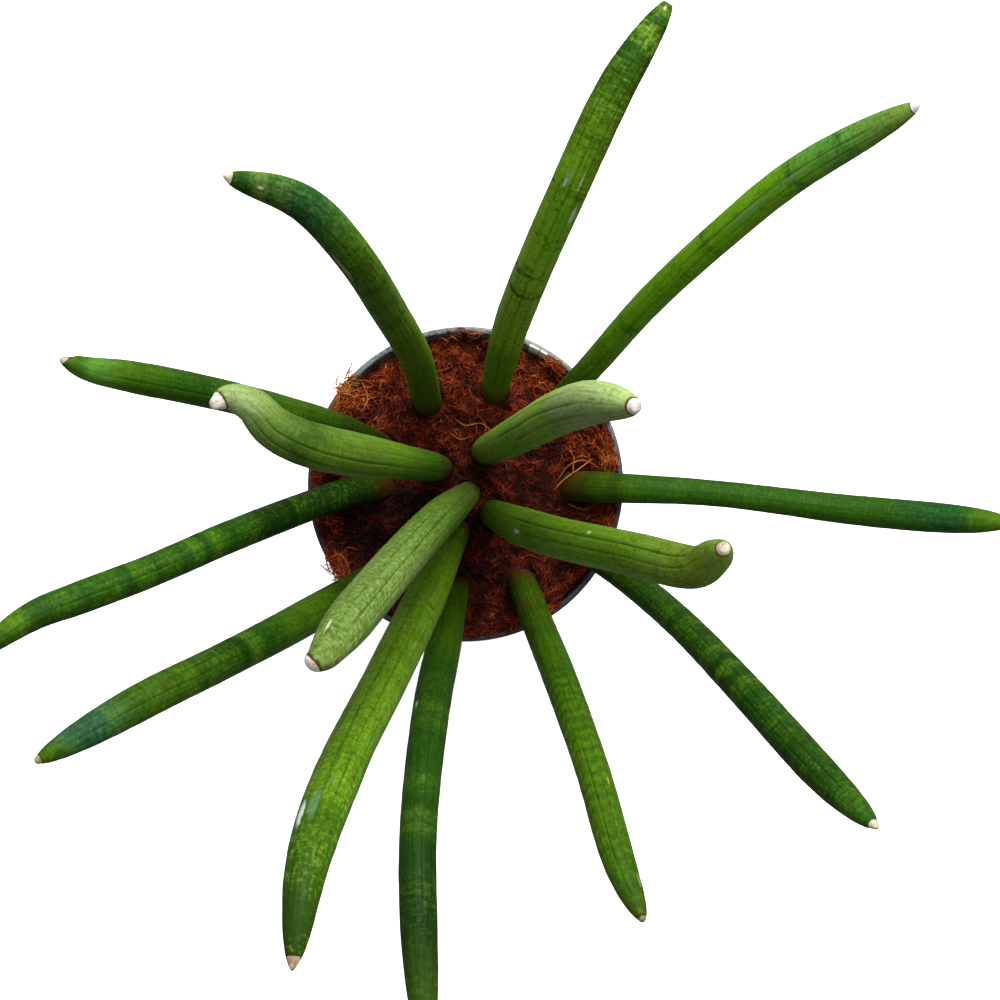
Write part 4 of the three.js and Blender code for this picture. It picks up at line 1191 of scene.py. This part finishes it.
def coir_material(name, lift):
    """Coconut fibre, from nearly black red through red-brown to orange."""
    shader = Shader(name)
    tone = shader.attribute("tone")
    place = shader.node("TexCoord", output=3)
    grain = shader.noise(place, 260.0, detail=4, roughness=0.7)
    tone = shader.maths("MULTIPLY_ADD", shader.maths("SUBTRACT", grain, 0.5), 0.7, tone)
    tone = shader.maths("ADD", tone, lift)
    colour = shader.ramp(tone, shades(
        (0.0, (26, 8, 4)), (0.22, (58, 17, 8)), (0.42, (106, 34, 13)),
        (0.6, (154, 56, 20)), (0.8, (206, 100, 38)), (1.0, (236, 156, 80)),
    ))
    shader.set(Base_Color=colour, Roughness=0.8, Specular_IOR_Level=0.12)
    shader.set(Normal=shader.bump(grain, 0.3 * MM, 0.6))
    return shader.material


# ---- Pot ----

POT_SECTORS = 192
DRAIN_SIDES = 32
RIM_ROLL = 0.9  # radius of the rim's two rounded edges
ROLL_STEPS = 6
WALL_STEPS = 6


def pot_profile():
    """Radius and height around the shell's section, from the underside's centre to the floor's."""
    collar = RIM_RADIUS - RIM_WIDTH + WALL
    under = float(inner_radius(COLLAR_FOOT)) + WALL
    lower = [(0.0, 0.0), (30, 0), (BASE_RADIUS - 2, 0), (BASE_RADIUS - 0.6, 0.5), (BASE_RADIUS, 2)]
    wall = [(BASE_RADIUS + (under - BASE_RADIUS) * share, 2 + (COLLAR_FOOT - 4) * share)
            for share in np.linspace(0, 1, WALL_STEPS + 1)[1:]]
    step = [(collar - 0.9, COLLAR_FOOT - 0.6), (collar - 0.4, COLLAR_FOOT)]
    step += [(collar, POT_HEIGHT - RIM_DEPTH - 0.5), (collar + 0.25, POT_HEIGHT - RIM_DEPTH)]
    rim = [(RIM_RADIUS - 0.4, POT_HEIGHT - RIM_DEPTH), (RIM_RADIUS, POT_HEIGHT - RIM_DEPTH + 0.4)]
    outside = RIM_RADIUS - RIM_ROLL
    inside = RIM_RADIUS - RIM_WIDTH + RIM_ROLL
    for middle, first in ((outside, 0), (inside, math.pi / 2)):
        for angle in first + np.linspace(0, math.pi / 2, ROLL_STEPS + 1):
            height = POT_HEIGHT - RIM_ROLL + RIM_ROLL * math.sin(angle)
            rim.append((middle + RIM_ROLL * math.cos(angle), height))
    heights = (POT_HEIGHT - 6, COLLAR_FOOT, 80, 40, FLOOR + 1)
    inner = [(float(inner_radius(z)), z) for z in heights]
    floor = [(float(inner_radius(FLOOR)) - 0.8, FLOOR), (28, FLOOR), (0.0, FLOOR)]
    return lower + wall + step + rim + inner + floor


def build_pot(material):
    """The turned shell, with its drain holes cut."""
    start, *rings, end = pot_profile()
    angles = np.linspace(0, 2 * math.pi, POT_SECTORS, endpoint=False)
    points = [(r * math.cos(a), r * math.sin(a), z) for r, z in rings for a in angles]
    points += [(0, 0, start[1]), (0, 0, end[1])]
    pot = add_mesh("pot_turned", points, solid_faces(len(rings), POT_SECTORS), [material])
    cut_with(pot, drain_cutter())
    dress(pot, "pot")


def drain_cutter():
    """Round pins that stand where the drain holes go."""
    points = []
    faces = []
    angles = np.linspace(0, 2 * math.pi, DRAIN_SIDES, endpoint=False)
    for bearing in np.linspace(0, 2 * math.pi, DRAIN_COUNT, endpoint=False):
        x = DRAIN_CIRCLE * math.cos(bearing) + DRAIN_RADIUS * np.cos(angles)
        y = DRAIN_CIRCLE * math.sin(bearing) + DRAIN_RADIUS * np.sin(angles)
        faces += drum_faces(2, DRAIN_SIDES, len(points))
        for z in (-2 * FLOOR, 3 * FLOOR):
            points += np.stack([x, y, np.full_like(x, z)], -1).tolist()
    return add_mesh("drains", points, faces, [])


GLARE_BEARINGS = (64.0, 62.4, 59.6, 58.0)  # where spots of painted glare, as of light on drops of water, lie along the rim's inner edge
# Near white of the painted glare
GLARE_COLOUR = (0.9, 0.92, 0.92, 1.0)
# Pale blue-grey of dust, which also stands for a painted highlight on the rim's lit side
DUST_AND_HIGHLIGHT_COLOUR = (164, 176, 172)
EARTH_COLOUR = (138, 102, 76)


def pot_material():
    """Moulded grey-black plastic with painted shade towards -Y, dust that also stands for a painted
    highlight near the top of the +Y side, painted glare on its rim, earth on its inner rim, and faint
    scuffs.
    """
    shader = Shader("pot_plastic_worn_and_painted_light")
    place = shader.node("TexCoord", output=3)
    x, y, z = (shader.node("SeparateXYZ", {0: place}, output=k) for k in range(3))
    cloud = shader.noise(place, 30.0, detail=4, roughness=0.6)
    tones = shades((0.3, (32, 44, 52)), (0.55, (54, 72, 82)), (0.75, (82, 98, 104)))
    colour = shader.ramp(cloud, tones)
    grit = shader.noise(place, 180.0, detail=5, roughness=0.7)

    # Painted shade towards -Y, and near the top of the +Y side dust that also stands for a painted
    # highlight
    height = shader.between(z, (POT_HEIGHT - 14) * MM, (POT_HEIGHT - 2) * MM)
    lit_side = shader.between(shader.maths("MULTIPLY_ADD", x, 0.2, y), 0.02, 0.075)
    painted_shade = shader.between(y, -0.09, 0.03, 0.5, 1.0)
    colour = shader.mix(1.0, colour, painted_shade, "MULTIPLY")
    dust_and_highlight = shader.between(shader.maths("ADD", grit, cloud), 0.7, 1.05)
    dust_and_highlight = shader.maths("MULTIPLY", shader.maths("MULTIPLY", dust_and_highlight, height), lit_side)
    dust_and_highlight = shader.maths("MULTIPLY", dust_and_highlight, 0.85)
    colour = shader.mix(dust_and_highlight, colour, surface_colour(DUST_AND_HIGHLIGHT_COLOUR))

    # Earth on the inner half of the rim
    earth = shader.maths("SUBTRACT", grit, shader.maths("MULTIPLY", cloud, 0.2))
    earth = shader.between(earth, 0.46, 0.6)
    flat = shader.node("CombineXYZ", {0: x, 1: y})
    reach = shader.node("VectorMath", {0: flat}, output=1, operation="LENGTH")
    inner = shader.between(reach, (RIM_RADIUS - 3.4) * MM, (RIM_RADIUS - 1.6) * MM, 0.8, 0.0)
    earth = shader.maths("MULTIPLY", shader.maths("MULTIPLY", earth, inner), height)
    colour = shader.mix(earth, colour, surface_colour(EARTH_COLOUR))

    # Painted glare, as of light on water, on the rim, but not down the outside of the collar
    dry = shader.between(reach, (RIM_RADIUS - 2.0) * MM, (RIM_RADIUS - 1.7) * MM)
    glare = shader.maths("MULTIPLY", painted_glare_share(shader, flat), height)
    glare = shader.maths("SUBTRACT", glare, dry, clamp=True)
    colour = shader.mix(glare, colour, GLARE_COLOUR)

    scuffs = shader.noise(place, (40.0, 40.0, 400.0), detail=3)
    shader.set(Base_Color=colour, Roughness=shader.between(scuffs, 0.3, 0.7, 0.36, 0.54))
    shader.set(Specular_IOR_Level=0.3, Normal=shader.bump(grit, 0.15 * MM, 0.25))
    return shader.material


def painted_glare_share(shader, flat):
    """Spots of painted glare, as of light on drops of water, along the rim's inner edge. flat: the place
    without its height.
    """
    reach = (RIM_RADIUS - 3.2) * MM
    nearest = 1.0
    for bearing in GLARE_BEARINGS:
        angle = math.radians(bearing)
        centre = (reach * math.cos(angle), reach * math.sin(angle), 0.0)
        away = shader.node("VectorMath", {0: flat, 1: centre}, output=1, operation="DISTANCE")
        nearest = shader.maths("MINIMUM", nearest, away)
    ragged = shader.noise(flat, (500.0, 500.0, 1.0))
    away = shader.maths("MULTIPLY_ADD", ragged, 1.2 * MM, nearest)
    return shader.between(away, 1.9 * MM, 2.6 * MM, 1.0, 0.0)


# ---- Stage, light and camera ----

FLOOR_HALF = 4000
FLOOR_DROP = 0.3  # how far the floor lies below the pot, so that their faces don't meet


def build_stage():
    """A plain white floor that glows a little and throws no light back on the plant."""
    shader = Shader("floor_paint")
    place = shader.node("TexCoord", output=3)
    grain = shader.noise(place, 6.0, detail=3)
    colour = shader.ramp(grain, [(0.3, (0.88, 0.88, 0.88, 1)), (0.7, (0.91, 0.91, 0.91, 1))])
    shader.set(Base_Color=colour, Roughness=0.9, Specular_IOR_Level=0.05)
    shader.set(Emission_Color=(1.0, 1.0, 1.0, 1.0), Emission_Strength=0.62)
    corners = ((-1, -1), (1, -1), (1, 1), (-1, 1))
    points = [(FLOOR_HALF * x, FLOOR_HALF * y, -FLOOR_DROP) for x, y in corners]
    floor = add_mesh("floor", points, [(0, 1, 2, 3)], [shader.material])
    floor.visible_diffuse = False
    floor.visible_glossy = False


def build_light():
    """Soft light from above and from +Y, with a white backdrop behind it."""
    world = bpy.data.worlds.new("studio")
    bpy.context.scene.world = world
    world.use_nodes = True
    nodes = Nodes(world.node_tree)
    upward = (0.16, 0.68, 0.72)
    toward = nodes.node("TexCoord")
    lean = nodes.node("VectorMath", {0: toward, 1: upward}, output=1, operation="DOT_PRODUCT")
    light = nodes.tree.nodes["Background"]
    light.inputs["Color"].default_value = (1.0, 0.99, 0.97, 1.0)
    nodes.put(light.inputs["Strength"], nodes.between(lean, -0.5, 0.95, 0.35, 0.8))
    backdrop = nodes.node("Background", {"Color": (1.0, 1.0, 1.0, 1.0), "Strength": 0.95})
    seen = nodes.node("LightPath")
    choice = nodes.node("MixShader", {0: seen, 1: light.outputs[0], 2: backdrop})
    nodes.put(nodes.tree.nodes["World Output"].inputs["Surface"], choice)
    add_area("key", (0.32, 0.92, 1.3), (0.0, -0.02, 0.15), 1.3, 56.0)
    add_area("top", (0.1, -0.1, 2.2), (0.0, 0.0, 0.0), 1.6, 4.0)


def add_area(name, place, target, size, power):
    """A round lamp at a place in metres that faces a target."""
    light = bpy.data.lights.new(name, "AREA")
    light.shape = "DISK"
    light.size = size
    light.energy = power
    lamp = bpy.data.objects.new(name, light)
    bpy.context.scene.collection.objects.link(lamp)
    lamp.location = place
    toward = Vector(target) - Vector(place)
    lamp.rotation_euler = toward.to_track_quat("-Z", "Y").to_euler()


def build_camera():
    """Looks almost straight down on the pot, as the photograph does."""
    data = bpy.data.cameras.new("camera")
    data.lens = 56.88
    data.sensor_width = 36
    data.clip_start = 0.01
    camera = bpy.data.objects.new("camera", data)
    bpy.context.scene.collection.objects.link(camera)
    camera.location = (0.017468, -0.050363, 0.923458)
    camera.rotation_euler = (math.radians(3), 0, 0)
    bpy.context.scene.camera = camera
    bpy.context.scene.view_settings.view_transform = "Standard"


# ---- The plant in its pot ----

build_camera()
build_light()
build_stage()
build_pot(pot_material())
build_bed(coir_material("coir_packed", -0.18))
build_fibres(coir_material("coir_loose", 0.0))
dry_ends = {name: dry_material(name, tones) for name, tones in DRY.items()}
for name, leaf in LEAVES.items():
    build_leaf(name, leaf, Skin(name, leaf).material, dry_ends[leaf["dry"]])
